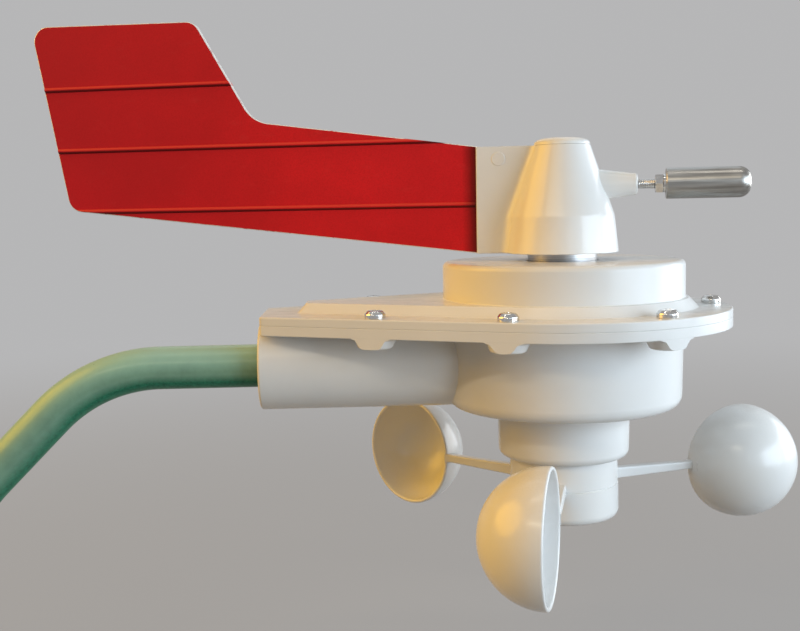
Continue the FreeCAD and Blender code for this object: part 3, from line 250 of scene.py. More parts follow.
def bearings(count):
    return [TURN * step / count for step in range(count)]


def circle(radius, height, turns):
    return [(radius * math.cos(turn), radius * math.sin(turn), height) for turn in turns]


def circles_like(ring, outline):
    """Circles of (radius, height) with their points in the same directions as a ring's."""
    turns = [math.atan2(point.y, point.x) for point in ring]
    return [circle(radius, height, turns) for radius, height in outline]


def mirrored(half, height):
    """Closed level ring from its +Y half, whose two ends lie on the X axis."""
    return [Vector((x, y, height)) for x, y in half + [(x, -y) for x, y in reversed(half[1:-1])]]


def rounded(outline, closed=True, steps=6):
    """Points of an outline whose (across, up, round) corners are turned into arcs."""
    points = []
    last = len(outline) - 1
    for index, (across, up, radius) in enumerate(outline):
        corner = Vector((across, up))
        if radius <= 0 or (not closed and index in (0, last)):
            points.append(corner)
            continue
        before = (Vector(outline[index - 1][:2]) - corner).normalized()
        after = (Vector(outline[(index + 1) % len(outline)][:2]) - corner).normalized()
        half = before.angle(after) / 2
        centre = corner + (before + after).normalized() * radius / math.sin(half)
        start = corner + before * radius / math.tan(half) - centre
        end = corner + after * radius / math.tan(half) - centre
        first = math.atan2(start.y, start.x)
        sweep = (math.atan2(end.y, end.x) - first + math.pi) % TURN - math.pi
        for step in range(steps + 1):
            bearing = first + sweep * step / steps
            points.append(centre + Vector((math.cos(bearing), math.sin(bearing))) * radius)
    return points


def bar_section(low, high, half, corner, steps):
    """Rounded rectangle across an arm, from low to high and up and down by half."""
    return rounded([(low, -half, corner), (high, -half, corner), (high, half, corner),
                    (low, half, corner)], steps=steps)


class Pear:
    """Outline of a round about the axis whose tangents run to a flat end at -X."""

    def __init__(self, radius, reach, half, corner):
        self.radius, self.reach, self.corner = radius, reach, corner
        self.lean = math.atan2(half, reach) + math.acos(radius / math.hypot(reach, half))

    def ring(self, inset, height, front=48, side=22, turns=6, end=4):
        """Closed ring of points, drawn in by inset."""
        radius, reach = self.radius - inset, self.reach - inset
        last = math.pi - self.lean
        x = self.corner - reach
        y = (radius - self.corner + math.cos(self.lean) * x) / math.sin(self.lean)
        nose = arc(0, 0, radius, 0, last, front)
        bend = arc(x, y, self.corner, last, self.lean, turns)
        tail = (-reach, 0.0)
        return mirrored(nose + between(nose[-1], bend[0], side) + bend
                        + between(bend[-1], tail, end) + [tail], height)

    def rings(self, outline):
        return [self.ring(inset, height) for inset, height in outline]


class Keyhole:
    """Level section of the vane hub: a round with a plate running out to -X in soft corners."""

    def __init__(self, half, reach, blend, corner):
        self.half, self.reach, self.blend, self.corner = half, reach, blend, corner

    def ring(self, radius, height, inset=0.0, front=38, bend=7, side=8, turns=4, end=4):
        radius -= inset
        half, reach = self.half - inset, self.reach - inset
        offset = half + self.blend
        out = math.sqrt((radius + self.blend) ** 2 - offset ** 2)
        start = -math.atan2(offset, out)
        nose = arc(0, 0, radius, 0, math.pi + start, front)
        blend = arc(-out, offset, self.blend, start, -math.pi / 2 - start, bend)
        corner = arc(self.corner - reach, half - self.corner, self.corner, math.pi / 2,
                     math.pi / 2, turns)
        tail = (-reach, 0.0)
        return mirrored(nose + blend[1:] + between(blend[-1], corner[0], side) + corner
                        + between(corner[-1], tail, end) + [tail], height)


# ---------------------------------------------------------------- mesh tools
def placed(name, data):
    """A new object at the origin of the scene."""
    thing = bpy.data.objects.new(name, data)
    bpy.context.scene.collection.objects.link(thing)
    return thing


def smooth(piece, crease=CREASE):
    piece.data.shade_smooth()
    piece.data.set_sharp_from_angle(angle=math.radians(crease))
    return piece


def piece_from(build, name, crease=CREASE):
    """A scene object from a bmesh, merged, facing outwards and smooth up to the crease angle."""
    bmesh.ops.remove_doubles(build, verts=build.verts, dist=TINY)
    bmesh.ops.dissolve_degenerate(build, edges=build.edges, dist=TINY)
    bmesh.ops.recalc_face_normals(build, faces=build.faces)
    mesh = bpy.data.meshes.new(name)
    build.to_mesh(mesh)
    build.free()
    return smooth(placed(name, mesh), crease)


def loft(name, rings, closed=True, crease=CREASE, caps=True):
    """Skin over rings of points; closed joins the last to the first, or caps close both ends."""
    build = bmesh.new()
    rows = [[build.verts.new(point) for point in ring] for ring in rings]
    for low, high in zip(rows, rows[1:] + rows[:1] if closed else rows[1:]):
        for index, vert in enumerate(low):
            following = (index + 1) % len(low)
            build.faces.new((vert, low[following], high[following], high[index]))
    if caps and not closed:
        build.faces.new(rows[0])
        build.faces.new(rows[-1])
    return piece_from(build, name, crease)


def lathe(name, outline, turns=120, crease=CREASE):
    """Solid or ring made by turning (radius, height) points about the local Z axis."""
    on_axis = outline[0][0] < TINY and outline[-1][0] < TINY
    around = bearings(turns)
    return loft(name, [circle(radius, height, around) for radius, height in outline],
                not on_axis, crease, caps=False)


def move(piece, place=(0, 0, 0), turn=0.0, about="Z"):
    """Turn a piece's mesh about a local axis, then shift it."""
    piece.data.transform(Matrix.Translation(place) @ Matrix.Rotation(turn, 4, about))
    return piece


def settle(piece, heading=0.0):
    """Turn a piece made about the axis to its heading and put its mesh in the frame."""
    return move(piece, AXIS, heading)


def along_x(piece, height):
    """Lay a piece turned about Z down along +X at a height."""
    return move(piece, (0, 0, height), math.pi / 2, "Y")


def modify(piece, kind, **settings):
    modifier = piece.modifiers.new(kind.title(), kind)
    for key, value in settings.items():
        setattr(modifier, key, value)


def soften(piece, width, **settings):
    """Bevel every edge sharper than 60 degrees."""
    modify(piece, "BEVEL", width=width, segments=2, limit_method="ANGLE",
           angle_limit=math.radians(60), **settings)


def baked(piece):
    """Replace a piece's mesh by its evaluated one and drop its modifiers."""
    bpy.context.view_layer.update()
    evaluated = piece.evaluated_get(bpy.context.evaluated_depsgraph_get())
    mesh = bpy.data.meshes.new_from_object(evaluated)
    piece.modifiers.clear()
    piece.data = mesh
    return piece


def combine(piece, others, operation="UNION", crease=CREASE):
    """Boolean of a closed piece with other closed pieces, which are then removed."""
    for other in others:
        modify(piece, "BOOLEAN", operation=operation, solver="EXACT", object=other)
    baked(piece)
    for other in others:
        bpy.data.objects.remove(other)
    return smooth(piece, crease)


def dress(piece, body, slot, *nodes):
    """Give a piece its slot's finish and its body, and hide the frame nodes that it stands for.

    Normals are weighted by face area, so that flats stay flat beside their rounded edges.
    """
    modify(piece, "WEIGHTED_NORMAL", keep_sharp=True)
    baked(piece)
    if not piece.data.materials:
        piece.data.materials.append(finish_of(slot))
    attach(piece, body)
    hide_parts(*nodes)


# ---------------------------------------------------------------- node tools
class Nodes:
    """A node tree to which nodes are added with their values and links."""

    def __init__(self, tree):
        self.tree = tree

    def link(self, start, end):
        self.tree.links.new(start, end)

    def add(self, kind, inputs=None, **settings):
        """A node with settings; inputs maps its socket names or numbers to values or sockets."""
        node = self.tree.nodes.new(kind)
        for key, value in settings.items():
            setattr(node, key, value)
        for key, value in (inputs or {}).items():
            if isinstance(value, bpy.types.NodeSocket):
                self.link(value, node.inputs[key])
            else:
                node.inputs[key].default_value = value
        return node

    def maths(self, operation, *values):
        return self.add("ShaderNodeMath", dict(enumerate(values)), operation=operation).outputs[0]


class Tree(Nodes):
    """A geometry node group with named inputs, and the object that runs it once."""

    def __init__(self, name, **inputs):
        super().__init__(bpy.data.node_groups.new(name, "GeometryNodeTree"))
        face = self.tree.interface
        for way in ("OUTPUT", "INPUT"):
            face.new_socket("Geometry", in_out=way, socket_type="NodeSocketGeometry")
        self.keys = {}
        for label, kind in {**inputs, "Material": "Material"}.items():
            socket = face.new_socket(label, in_out="INPUT", socket_type=f"NodeSocket{kind}")
            self.keys[label] = socket.identifier
        self.given = self.add("NodeGroupInput").outputs
        self.ends = self.add("NodeGroupOutput").inputs

    def close(self, geometry):
        """End the tree with realised instances and the given material."""
        real = self.add("GeometryNodeRealizeInstances", {"Geometry": geometry})
        coat = self.add("GeometryNodeSetMaterial", {"Geometry": real.outputs[0],
                                                    "Material": self.given["Material"]})
        self.link(coat.outputs[0], self.ends[0])
        return self

    def copies(self, points, turn):
        """Close the tree with the given piece on every point, turned about its own axis."""
        piece = self.add("GeometryNodeObjectInfo", {"Object": self.given["Piece"]})
        heading = self.add("ShaderNodeCombineXYZ", {"Z": turn})
        spread = self.add("GeometryNodeInstanceOnPoints", {
            "Points": points, "Instance": piece.outputs["Geometry"],
            "Rotation": heading.outputs[0]})
        return self.close(spread.outputs[0])

    def swept(self, curve, radius, sides, **ends):
        """Round section carried along a curve."""
        section = self.add("GeometryNodeCurvePrimitiveCircle", {
            "Resolution": sides, "Radius": radius})
        return self.add("GeometryNodeCurveToMesh", {
            "Curve": curve, "Profile Curve": section.outputs[0], **ends}).outputs[0]

    def grow(self, name, mesh, **values):
        """Run the tree on a mesh and return a plain object."""
        piece = placed(name, mesh)
        modifier = piece.modifiers.new(name, "NODES")
        modifier.node_group = self.tree
        for label, value in values.items():
            modifier[self.keys[label]] = value
        return smooth(baked(piece))


def points_mesh(name, points, edges=()):
    mesh = bpy.data.meshes.new(name)
    mesh.from_pydata([tuple(point) for point in points], list(edges), [])
    return mesh


def scatter_tree():
    """Puts a copy of a piece on every point, each turned by chance about its own axis."""
    tree = Tree("Scattered pieces", Piece="Object", Seed="Int")
    turn = tree.add("FunctionNodeRandomValue", {"Seed": tree.given["Seed"]}, data_type="FLOAT")
    turn.inputs[3].default_value = TURN
    return tree.copies(tree.given["Geometry"], turn.outputs[1])


def ring_tree():
    """Turns copies of a piece evenly about the axis, the first at a heading."""
    tree = Tree("Ring of pieces", Piece="Object", Count="Int", Heading="Float")
    spots = tree.add("GeometryNodePoints", {"Count": tree.given["Count"]})
    index = tree.add("GeometryNodeInputIndex").outputs[0]
    share = tree.maths("DIVIDE", TURN, tree.given["Count"])
    return tree.copies(spots.outputs[0],
                       tree.maths("MULTIPLY_ADD", index, share, tree.given["Heading"]))


def tube_tree():
    """Sweeps a round tube along a line of straight runs with filleted bends."""
    tree = Tree("Bent tube", Radius="Float", Bend="Float", Sides="Int")
    line = tree.add("GeometryNodeMeshToCurve", {"Mesh": tree.given["Geometry"]})
    bent = tree.add("GeometryNodeFilletCurve", {
        "Curve": line.outputs[0], "Radius": tree.given["Bend"], "Count": 40}, mode="POLY")
    return tree.close(tree.swept(bent.outputs[0], tree.given["Radius"], tree.given["Sides"]))


def rib_tree():
    """Flattened beads along straight lines, standing out of both faces of a sheet."""
    tree = Tree("Sheet ribs", Half="Float", Flattening="Float")
    lines = tree.add("GeometryNodeMeshToCurve", {"Mesh": tree.given["Geometry"]})
    fine = tree.add("GeometryNodeResampleCurve", {"Curve": lines.outputs[0], "Count": 60})
    bead = tree.swept(fine.outputs[0], tree.given["Half"], 24, **{"Fill Caps": True})
    scale = tree.add("ShaderNodeCombineXYZ", {"X": 1.0, "Y": tree.given["Flattening"], "Z": 1.0})
    flat = tree.add("GeometryNodeTransform", {"Geometry": bead, "Scale": scale.outputs[0]})
    return tree.close(flat.outputs[0])


# ---------------------------------------------------------------- finishes
class Finish(Nodes):
    """A procedural material whose colour, gloss and relief come from noise in object space."""

    def __init__(self, name, colour, metallic=0.0, roughness=0.4, coat=0.0, specular=0.5,
                 anisotropic=0.0):
        self.material = bpy.data.materials.new(name)
        self.material.use_nodes = True
        self.material.diffuse_color = (*colour, 1.0)
        super().__init__(self.material.node_tree)
        self.shader = self.tree.nodes["Principled BSDF"]
        for socket, value in {
                "Base Color": (*colour, 1.0), "Metallic": metallic, "Roughness": roughness,
                "Specular IOR Level": specular, "Coat Weight": coat, "Coat Roughness": 0.08,
                "Anisotropic": anisotropic}.items():
            self.shader.inputs[socket].default_value = value
        self.place = self.add("ShaderNodeTexCoord").outputs["Object"]

    def noise(self, scale, detail=3.0, stretch=(1, 1, 1), turn=0.0, rough=0.5):
        """Noise with features about 1/scale metres across, drawn out along turned axes."""
        mapped = self.add("ShaderNodeMapping", {
            "Vector": self.place, "Scale": stretch, "Rotation": (0, 0, turn)},
            vector_type="TEXTURE")
        return self.add("ShaderNodeTexNoise", {
            "Vector": mapped.outputs[0], "Scale": scale, "Detail": detail,
            "Roughness": rough}).outputs["Fac"]

    def upright(self):
        """1 on surfaces that look up, 0 on upright ones and -1 on undersides."""
        normal = self.add("ShaderNodeNewGeometry").outputs["Normal"]
        return self.add("ShaderNodeSeparateXYZ", {"Vector": normal}).outputs["Z"]

    def spread(self, factor, low, high, start=0.3, end=0.7, **settings):
        """A factor from start to end carried to the range low to high."""
        return self.add("ShaderNodeMapRange", {
            "Value": factor, "From Min": start, "From Max": end, "To Min": low,
            "To Max": high}, **settings).outputs[0]

    def tint(self, factor, dark, light, start=0.3, end=0.7):
        """Colour that runs from dark to light with the factor."""
        ramp = self.add("ShaderNodeValToRGB", {"Fac": factor})
        for element, place, tone in zip(ramp.color_ramp.elements, (start, end), (dark, light)):
            element.position = place
            element.color = (*tone, 1.0)
        return ramp.outputs["Color"]

    def overlay(self, factor, below, above):
        if not isinstance(above, bpy.types.NodeSocket):
            above = (*above, 1.0)
        return self.add("ShaderNodeMix", {"Factor": factor, "A": below, "B": above},
                        data_type="RGBA").outputs["Result"]

    def stain(self, below, above, factor, *reach):
        """Another colour over what lies below, by a factor spread over its reach."""
        return self.overlay(self.spread(factor, *reach), below, above)

    def finished(self, tone, gloss, *layers):
        """The material with its colour, roughness and (height, metres, strength) relief."""
        self.link(tone, self.shader.inputs["Base Color"])
        if gloss is not None:
            self.link(gloss, self.shader.inputs["Roughness"])
        below = {}
        for height, distance, strength in layers:
            bump = self.add("ShaderNodeBump", {
                "Height": height, "Distance": distance, "Strength": strength, **below})
            below = {"Normal": bump.outputs["Normal"]}
        self.link(below["Normal"], self.shader.inputs["Normal"])
        return self.material


def shade(tone, *factors):
    """A tone times one factor, or one for each channel."""
    factors = factors * 3 if len(factors) == 1 else factors
    return tuple(min(1.0, channel * factor) for channel, factor in zip(tone, factors))


def moulded_plastic(name, colour, roughness=(0.18, 0.26), specular=0.3, coat=0.0):
    """Glossy injection moulding: cloudy tone, faint flow marks, handling scratches, and dust with
    painted shade on upward faces.
    """
    finish = Finish(name, colour, specular=specular, coat=coat)
    body = finish.tint(finish.noise(28, 4), shade(colour, 0.955), shade(colour, 1.02))
    body = finish.stain(body, shade(colour, 0.98, 0.92, 0.80), finish.noise(45, 2),
                        0.0, 0.06, 0.45, 0.8)
    # Dust specks on faces that look up, which also darken those faces as painted shade.
    dust_and_painted_shade = finish.maths("MULTIPLY", finish.spread(finish.upright(), 0.0, 1.0, 0.55, 0.95),
                        finish.spread(finish.noise(1500, 2, rough=0.7), 0.0, 0.2, 0.45, 0.8))
    return finish.finished(
        finish.overlay(dust_and_painted_shade, body, (0.52, 0.52, 0.50)),
        finish.spread(finish.noise(180, 5), *roughness),
        (finish.noise(900, 2), 0.00002, 0.08), (finish.noise(28, 1), 0.0004, 0.05),
        (finish.noise(2600, 1, stretch=(9, 1, 1), turn=0.7), 0.00001, 0.05))


def brushed_metal(name, dark, light, roughness, scale=2200, relief=0.25, **lines):
    """Metal with fine lines along one direction and a little cloudy staining."""
    finish = Finish(name, light, metallic=1.0, anisotropic=0.4)
    lines = finish.noise(scale, 4, rough=0.6, **lines)
    body = finish.tint(lines, dark, light, 0.34, 0.66)
    return finish.finished(
        finish.stain(body, shade(dark, 0.8), finish.noise(90, 4), 0.0, 0.35, 0.5, 0.75),
        finish.spread(lines, *roughness), (lines, 0.00002, relief))


def polished_metal(name, colour, roughness=(0.08, 0.2)):
    """Bright metal with swirl marks and a few duller spots."""
    finish = Finish(name, colour, metallic=1.0)
    swirl = finish.noise(1400, 4, stretch=(4, 1, 1), turn=0.9)
    spots = finish.noise(420, 3)
    body = finish.tint(swirl, shade(colour, 0.86), shade(colour, 1.04))
    return finish.finished(
        finish.stain(body, shade(colour, 0.6), spots, 0.0, 0.45, 0.56, 0.74),
        finish.spread(spots, *roughness), (swirl, 0.00001, 0.2))


def turned_metal(name, dark, light):
    """Metal turned on a lathe about the upright axis, with rings round it."""
    finish = Finish(name, light, metallic=1.0, anisotropic=0.5)
    rings = finish.noise(900, 3, stretch=(50, 50, 0.2), rough=0.65)
    body = finish.tint(rings, dark, light, 0.36, 0.64)
    return finish.finished(
        finish.stain(body, shade(dark, 0.75), finish.noise(110, 4), 0.0, 0.3, 0.5, 0.75),
        finish.spread(rings, 0.28, 0.36), (rings, 0.00003, 0.35))


def anodised_tube(name, colour):
    """Dyed tube with a painted reflection along its top and its lowest edge, painted shade
    underneath, drawing lines and nicks.
    """
    finish = Finish(name, colour, metallic=0.05, specular=0.25, coat=0.1)
    upright = finish.upright()
    painted_reflection = shade(colour, 2.6, 2.3, 2.9)
    painted_underside_shade = finish.tint(finish.noise(700, 4, rough=0.7), shade(colour, 0.02, 0.36, 0.26),
                       shade(colour, 0.14, 0.85, 0.66))
    dyed = finish.tint(finish.noise(70, 5, rough=0.65), shade(colour, 1.05), shade(colour, 1.5))
    # Painted shade: a deeper, darker green on faces that look down.
    body = finish.stain(painted_underside_shade, dyed, upright, 0.0, 1.0, -0.62, -0.24)
    # Painted reflection: a pale tone along the top of the tube.
    body = finish.stain(body, painted_reflection, upright, 0.0, 0.75, -0.1, 0.85)
    # Painted reflection: a pale line along the lowest edge of the tube.
    body = finish.stain(body, painted_reflection, upright, 0.8, 0.0, -0.99, -0.90)
    nicks = finish.noise(420, 2, stretch=(1.6, 1, 1))
    return finish.finished(
        finish.stain(body, shade(colour, 0.25), nicks, 0.0, 0.8, 0.765, 0.79),
        finish.spread(finish.noise(300, 4), 0.32, 0.42),
        (finish.noise(1800, 3, stretch=(12, 1, 1)), 0.00002, 0.12))


def coated_sheet(name, colour):
    """Satin coat on sheet metal: orange peel, painted highlight on upper sides, painted shade
    below and towards the tail, painted shadow at the root.
    """
    finish = Finish(name, colour, specular=0.22)
    grain = finish.noise(1500, 3, rough=0.75)
    body = finish.tint(finish.noise(17, 5, rough=0.6), shade(colour, 0.84), shade(colour, 1.08),
                       0.35, 0.68)
    body = finish.stain(body, shade(colour, 0.62, 0.5, 0.5), grain, 0.0, 0.42, 0.42, 0.7)
    body = finish.stain(body, (colour[0] * 1.1, 0.10, 0.09),
                        finish.noise(240, 5, stretch=(2, 1, 0.7)), 0.0, 0.10, 0.6, 0.8)
    nose = Vector((math.cos(VANE_HEADING), math.sin(VANE_HEADING), 0.0))
    along = finish.add("ShaderNodeVectorMath", {0: finish.place, 1: nose},
                       operation="DOT_PRODUCT").outputs["Value"]
    root = nose.dot(AXIS) - sizes("vane").plate_reach
    # Painted shade: the fin turns darker and cooler towards its tail.
    body = finish.stain(body, shade(colour, 0.56, 0.5, 1.3), along, 0.55, 0.0,
                        root - 200 * MM, root - 80 * MM)
    upright = finish.upright()
    # Painted highlight: lighter red on faces that look up, such as the tops of the ribs.
    body = finish.stain(body, (0.66, 0.05, 0.03), upright, 0.0, 0.8, 0.08, 0.5)
    # Painted shade: dark red on faces that look down, such as under the ribs.
    body = finish.stain(body, shade(colour, 0.12), upright, 0.88, 0.0, -0.42, -0.06)
    # Painted shadow: near black on the fin beside the plate's edge, where the plate shades it.
    return finish.finished(
        finish.stain(body, shade(colour, 0.05), along, 0.0, 0.85, root - 6.0 * MM,
                     root - 0.6 * MM),
        finish.spread(grain, 0.42, 0.6), (finish.noise(700, 3), 0.00004, 0.22),
        (grain, 0.00002, 0.18))


def bare_edge(name):
    """Sheet edge where the coat has worn to the pale metal, with some red left in patches."""
    finish = Finish(name, (0.72, 0.66, 0.62), metallic=0.25)
    patches = finish.noise(260, 5, rough=0.65)
    return finish.finished(
        finish.tint(patches, (0.46, 0.12, 0.11), (0.78, 0.74, 0.70), 0.32, 0.46),
        finish.spread(patches, 0.3, 0.5), (finish.noise(1600, 3), 0.00004, 0.3))


def dull_finish(name, colour, roughness=(0.55, 0.75), grain=800, relief=0.3, metallic=0.0):
    """Matte rubber, ferrite or plain moulded parts with an even grain."""
    finish = Finish(name, colour, metallic=metallic, specular=0.35)
    fine = finish.noise(grain, 4, rough=0.6)
    body = finish.tint(finish.noise(120, 3), shade(colour, 0.8), shade(colour, 1.25))
    return finish.finished(finish.stain(body, shade(colour, 0.6), fine, 0.0, 0.3, 0.5, 0.75),
                           finish.spread(fine, *roughness), (fine, 0.00003, relief))


def circuit_laminate(name, colour):
    """Coated glass-fibre board: woven cloth showing through the lacquer, with copper paths."""
    finish = Finish(name, colour, coat=0.4)
    cloth = finish.maths("MULTIPLY", *[finish.add(
        "ShaderNodeTexWave", {"Vector": finish.place, "Scale": 420.0, "Distortion": 0.6},
        bands_direction=way).outputs["Fac"] for way in "XY"])
    cells = finish.add("ShaderNodeTexVoronoi", {"Vector": finish.place, "Scale": 260.0},
                       feature="DISTANCE_TO_EDGE")
    body = finish.tint(cloth, shade(colour, 0.8), shade(colour, 1.3), 0.1, 0.9)
    paths = finish.spread(cells.outputs["Distance"], 0.55, 0.0, 0.03, 0.07)
    return finish.finished(finish.overlay(paths, body, shade(colour, 1.8, 1.5, 1.4)),
                           finish.spread(cloth, 0.28, 0.42, 0.0, 1.0), (paths, 0.00003, 0.3))


def knurled_brass(name, colour):
    """Brass with crossed knurling lines and darker tarnish."""
    finish = Finish(name, colour, metallic=1.0)
    lines = finish.noise(1600, 3, stretch=(1, 1, 0.25), turn=0.3)
    tarnish = finish.noise(260, 4)
    body = finish.tint(lines, shade(colour, 0.7), shade(colour, 1.1))
    return finish.finished(
        finish.stain(body, shade(colour, 0.5, 0.42, 0.35), tarnish, 0.0, 0.6, 0.48, 0.7),
        finish.spread(tarnish, 0.28, 0.45), (lines, 0.00004, 0.5))


MAKERS = {
    "anodised_green": lambda: anodised_tube("green_anodising", sizes("arm").dye),
    "white_housing": lambda: moulded_plastic("housing_plastic", sizes("housing").plastic),
    "white_moving_parts": lambda: moulded_plastic(
        "rotor_plastic", sizes("rotor").plastic, (0.19, 0.26), 0.45, 0.05),
    "red_fin": lambda: coated_sheet("red_coat", sizes("vane").fin),
    "fin_edge": lambda: bare_edge("worn_sheet_edge"),
    "grey_metal": lambda: turned_metal("turned_collar", (0.26, 0.26, 0.265), (0.55, 0.55, 0.555)),
    "brushed_steel": lambda: brushed_metal(
        "brushed_steel", (0.30, 0.29, 0.27), (0.46, 0.45, 0.43), (0.29, 0.38), 1100, 0.12,
        stretch=(30, 1, 1), turn=VANE_HEADING),
    "spring_steel": lambda: brushed_metal(
        "spring_steel", (0.12, 0.12, 0.13), (0.26, 0.26, 0.27), (0.3, 0.45)),
    "polished_steel": lambda: polished_metal("polished_steel", (0.68, 0.67, 0.65)),
    "bearing_steel": lambda: polished_metal("ground_steel", (0.70, 0.70, 0.71), (0.05, 0.14)),
    "magnet_plating": lambda: polished_metal("nickel_plating", (0.66, 0.65, 0.62), (0.12, 0.26)),
    "brass": lambda: knurled_brass("knurled_brass", (0.74, 0.55, 0.24)),
    "ferrite": lambda: dull_finish(
        "dull_ferrite", (0.10, 0.10, 0.11), (0.5, 0.7), 1400, 0.4, metallic=0.3),
    "black_rubber": lambda: dull_finish("cord_rubber", (0.03, 0.03, 0.032)),
    "blue_rubber": lambda: dull_finish("ring_rubber", (0.035, 0.06, 0.16), (0.4, 0.6)),
    "black_plastic": lambda: dull_finish(
        "holder_plastic", (0.045, 0.045, 0.048), (0.35, 0.5), 1200, 0.2),
    "chip_black": lambda: dull_finish(
        "package_plastic", (0.03, 0.03, 0.033), (0.45, 0.6), 2400, 0.25),
    "terminal_green": lambda: dull_finish(
        "terminal_plastic", (0.06, 0.30, 0.12), (0.3, 0.45), 1500, 0.15),
    "board_green": lambda: circuit_laminate("board_laminate", (0.03, 0.17, 0.08)),
}
FINISHES = {}


def finish_of(name):
    """The material of a record slot, made once from the current colours."""
    if name not in FINISHES:
        FINISHES[name] = MAKERS[name]()
    return FINISHES[name]


# ---------------------------------------------------------------- arm and housing
class Piece(bpy.types.Operator):
    """Shared settings of the operators below"""
    bl_options = {"REGISTER", "UNDO"}


def inward_normals(tube):
    """True if an open tube's faces look at its own middle."""
    face = tube.data.polygons[len(tube.data.polygons) // 2]
    neighbourhood = 20 * MM
    near = [vertex.co for vertex in tube.data.vertices
            if (vertex.co - face.center).length < neighbourhood]
    middle = sum(near, Vector()) / len(near)
    return face.normal.dot(face.center - middle) < 0


def face_outwards(piece):
    build = bmesh.new()
    build.from_mesh(piece.data)
    bmesh.ops.recalc_face_normals(build, faces=build.faces)
    build.to_mesh(piece.data)
    build.free()


class WINDSENSOR_OT_arm_tube(Piece):
    """Build the bent tube that carries the head"""
    bl_idname = "wind_sensor.arm_tube"
    bl_label = "Arm tube"

    def execute(self, context):
        s = sizes("arm")
        tangent = s.bend_radius * math.tan(s.bend / 2)
        rise = s.spigot + tangent
        slope = s.slope + 2 * tangent
        elbow = (slope * math.sin(s.bend), 0, rise + slope * math.cos(s.bend))
        end = (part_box("arm_tube")[1].x, 0, SEAM - sizes("housing").socket_drop)
        line = points_mesh("tube_line", [(0, 0, 0), (0, 0, rise), elbow, end],
                           [(0, 1), (1, 2), (2, 3)])
        tube = tube_tree().grow("arm_tube_skin", line, Radius=s.radius, Bend=s.bend_radius,
                                Sides=64, Material=finish_of("anodised_green"))
        modify(tube, "SOLIDIFY", thickness=s.wall, offset=1.0 if inward_normals(tube) else -1.0,
               use_even_offset=True)
        face_outwards(baked(tube))
        soften(tube, 0.3 * MM)
        dress(smooth(tube), "housing", "anodised_green", "arm_tube")
        return {"FINISHED"}


class WINDSENSOR_OT_top_cover(Piece):
    """Build the cover: flange, sloping platform, drum and the tower round the collar"""
    bl_idname = "wind_sensor.top_cover"
    bl_label = "Top cover"

    def execute(self, context):
        s = sizes("housing")
        flange = Pear(s.flange_radius, s.flange_reach, s.flange_half, s.corner)
        platform = Pear(s.platform_radius, s.platform_reach, s.platform_half, 1.5 * MM)
        rim = rounded([(FAR, 0, 0), (0, 0, SEAM_EDGE), (0, s.cover_flange, s.rim),
                       (FAR, s.cover_flange, 0)])[1:-1]
        skirt = rounded([(-FAR, s.cover_flange, 0), (-s.platform_skirt, s.cover_flange, 1.0 * MM),
                         (0, s.platform_top, 0.45 * MM), (FAR, s.platform_top, 0)])[1:-1]
        tower_foot = 5 * MM
        roof = s.drum_top - s.wall
        inside = s.drum_radius - s.wall
        ceiling = s.platform_top - 2.8 * MM
        drum = rounded([
            (s.drum_radius + FAR, s.platform_top, 0), (s.drum_radius, s.platform_top, 0.6 * MM),
            (s.drum_radius, s.drum_top, 2.2 * MM), (SLEEVE_HOLE, s.drum_top, 0.35 * MM),
            (SLEEVE_HOLE, tower_foot, 0.3 * MM), (TOWER, tower_foot, 0.3 * MM),
            (TOWER, roof, 1.0 * MM), (inside, roof, 1.0 * MM), (inside, ceiling, 0)],
            closed=False)[1:]
        cover = loft("cover_shell", (
            flange.rings(rim) + platform.rings(skirt) + circles_like(platform.ring(0, 0), drum)
            + platform.rings([(s.wall, ceiling), (s.wall, 0.0)])))
        dress(settle(cover), "housing", "white_housing", "top_cover")
        return {"FINISHED"}


def screw_spots(s):
    """The seven cover screws' places on the flange."""
    round_drum = [math.radians(turn) for turn in (0.0, 62.0, -62.0, 118.5, -118.5)]
    beside_arm = scaled([(-75.9, 33.0), (-75.9, -33.0)])
    return [(s.screw_circle * math.cos(turn), s.screw_circle * math.sin(turn))
            for turn in round_drum] + beside_arm


def screw_boss(s, spot):
    """Boss that flares up into the flange and ends in a small flat foot."""
    top = -1.5 * MM
    flare = s.boss_radius + 1.4 * MM
    return move(lathe("boss", rounded([
        (0, -s.boss_depth, 0), (s.boss_foot, -s.boss_depth, 1.5 * MM),
        (s.boss_radius - 0.2 * MM, -s.base_flange - 0.6 * MM, 1.2 * MM),
        (flare, -s.base_flange, 0.4 * MM), (flare, top, 0), (0, top, 0)], closed=False), 48),
        (*spot, 0))


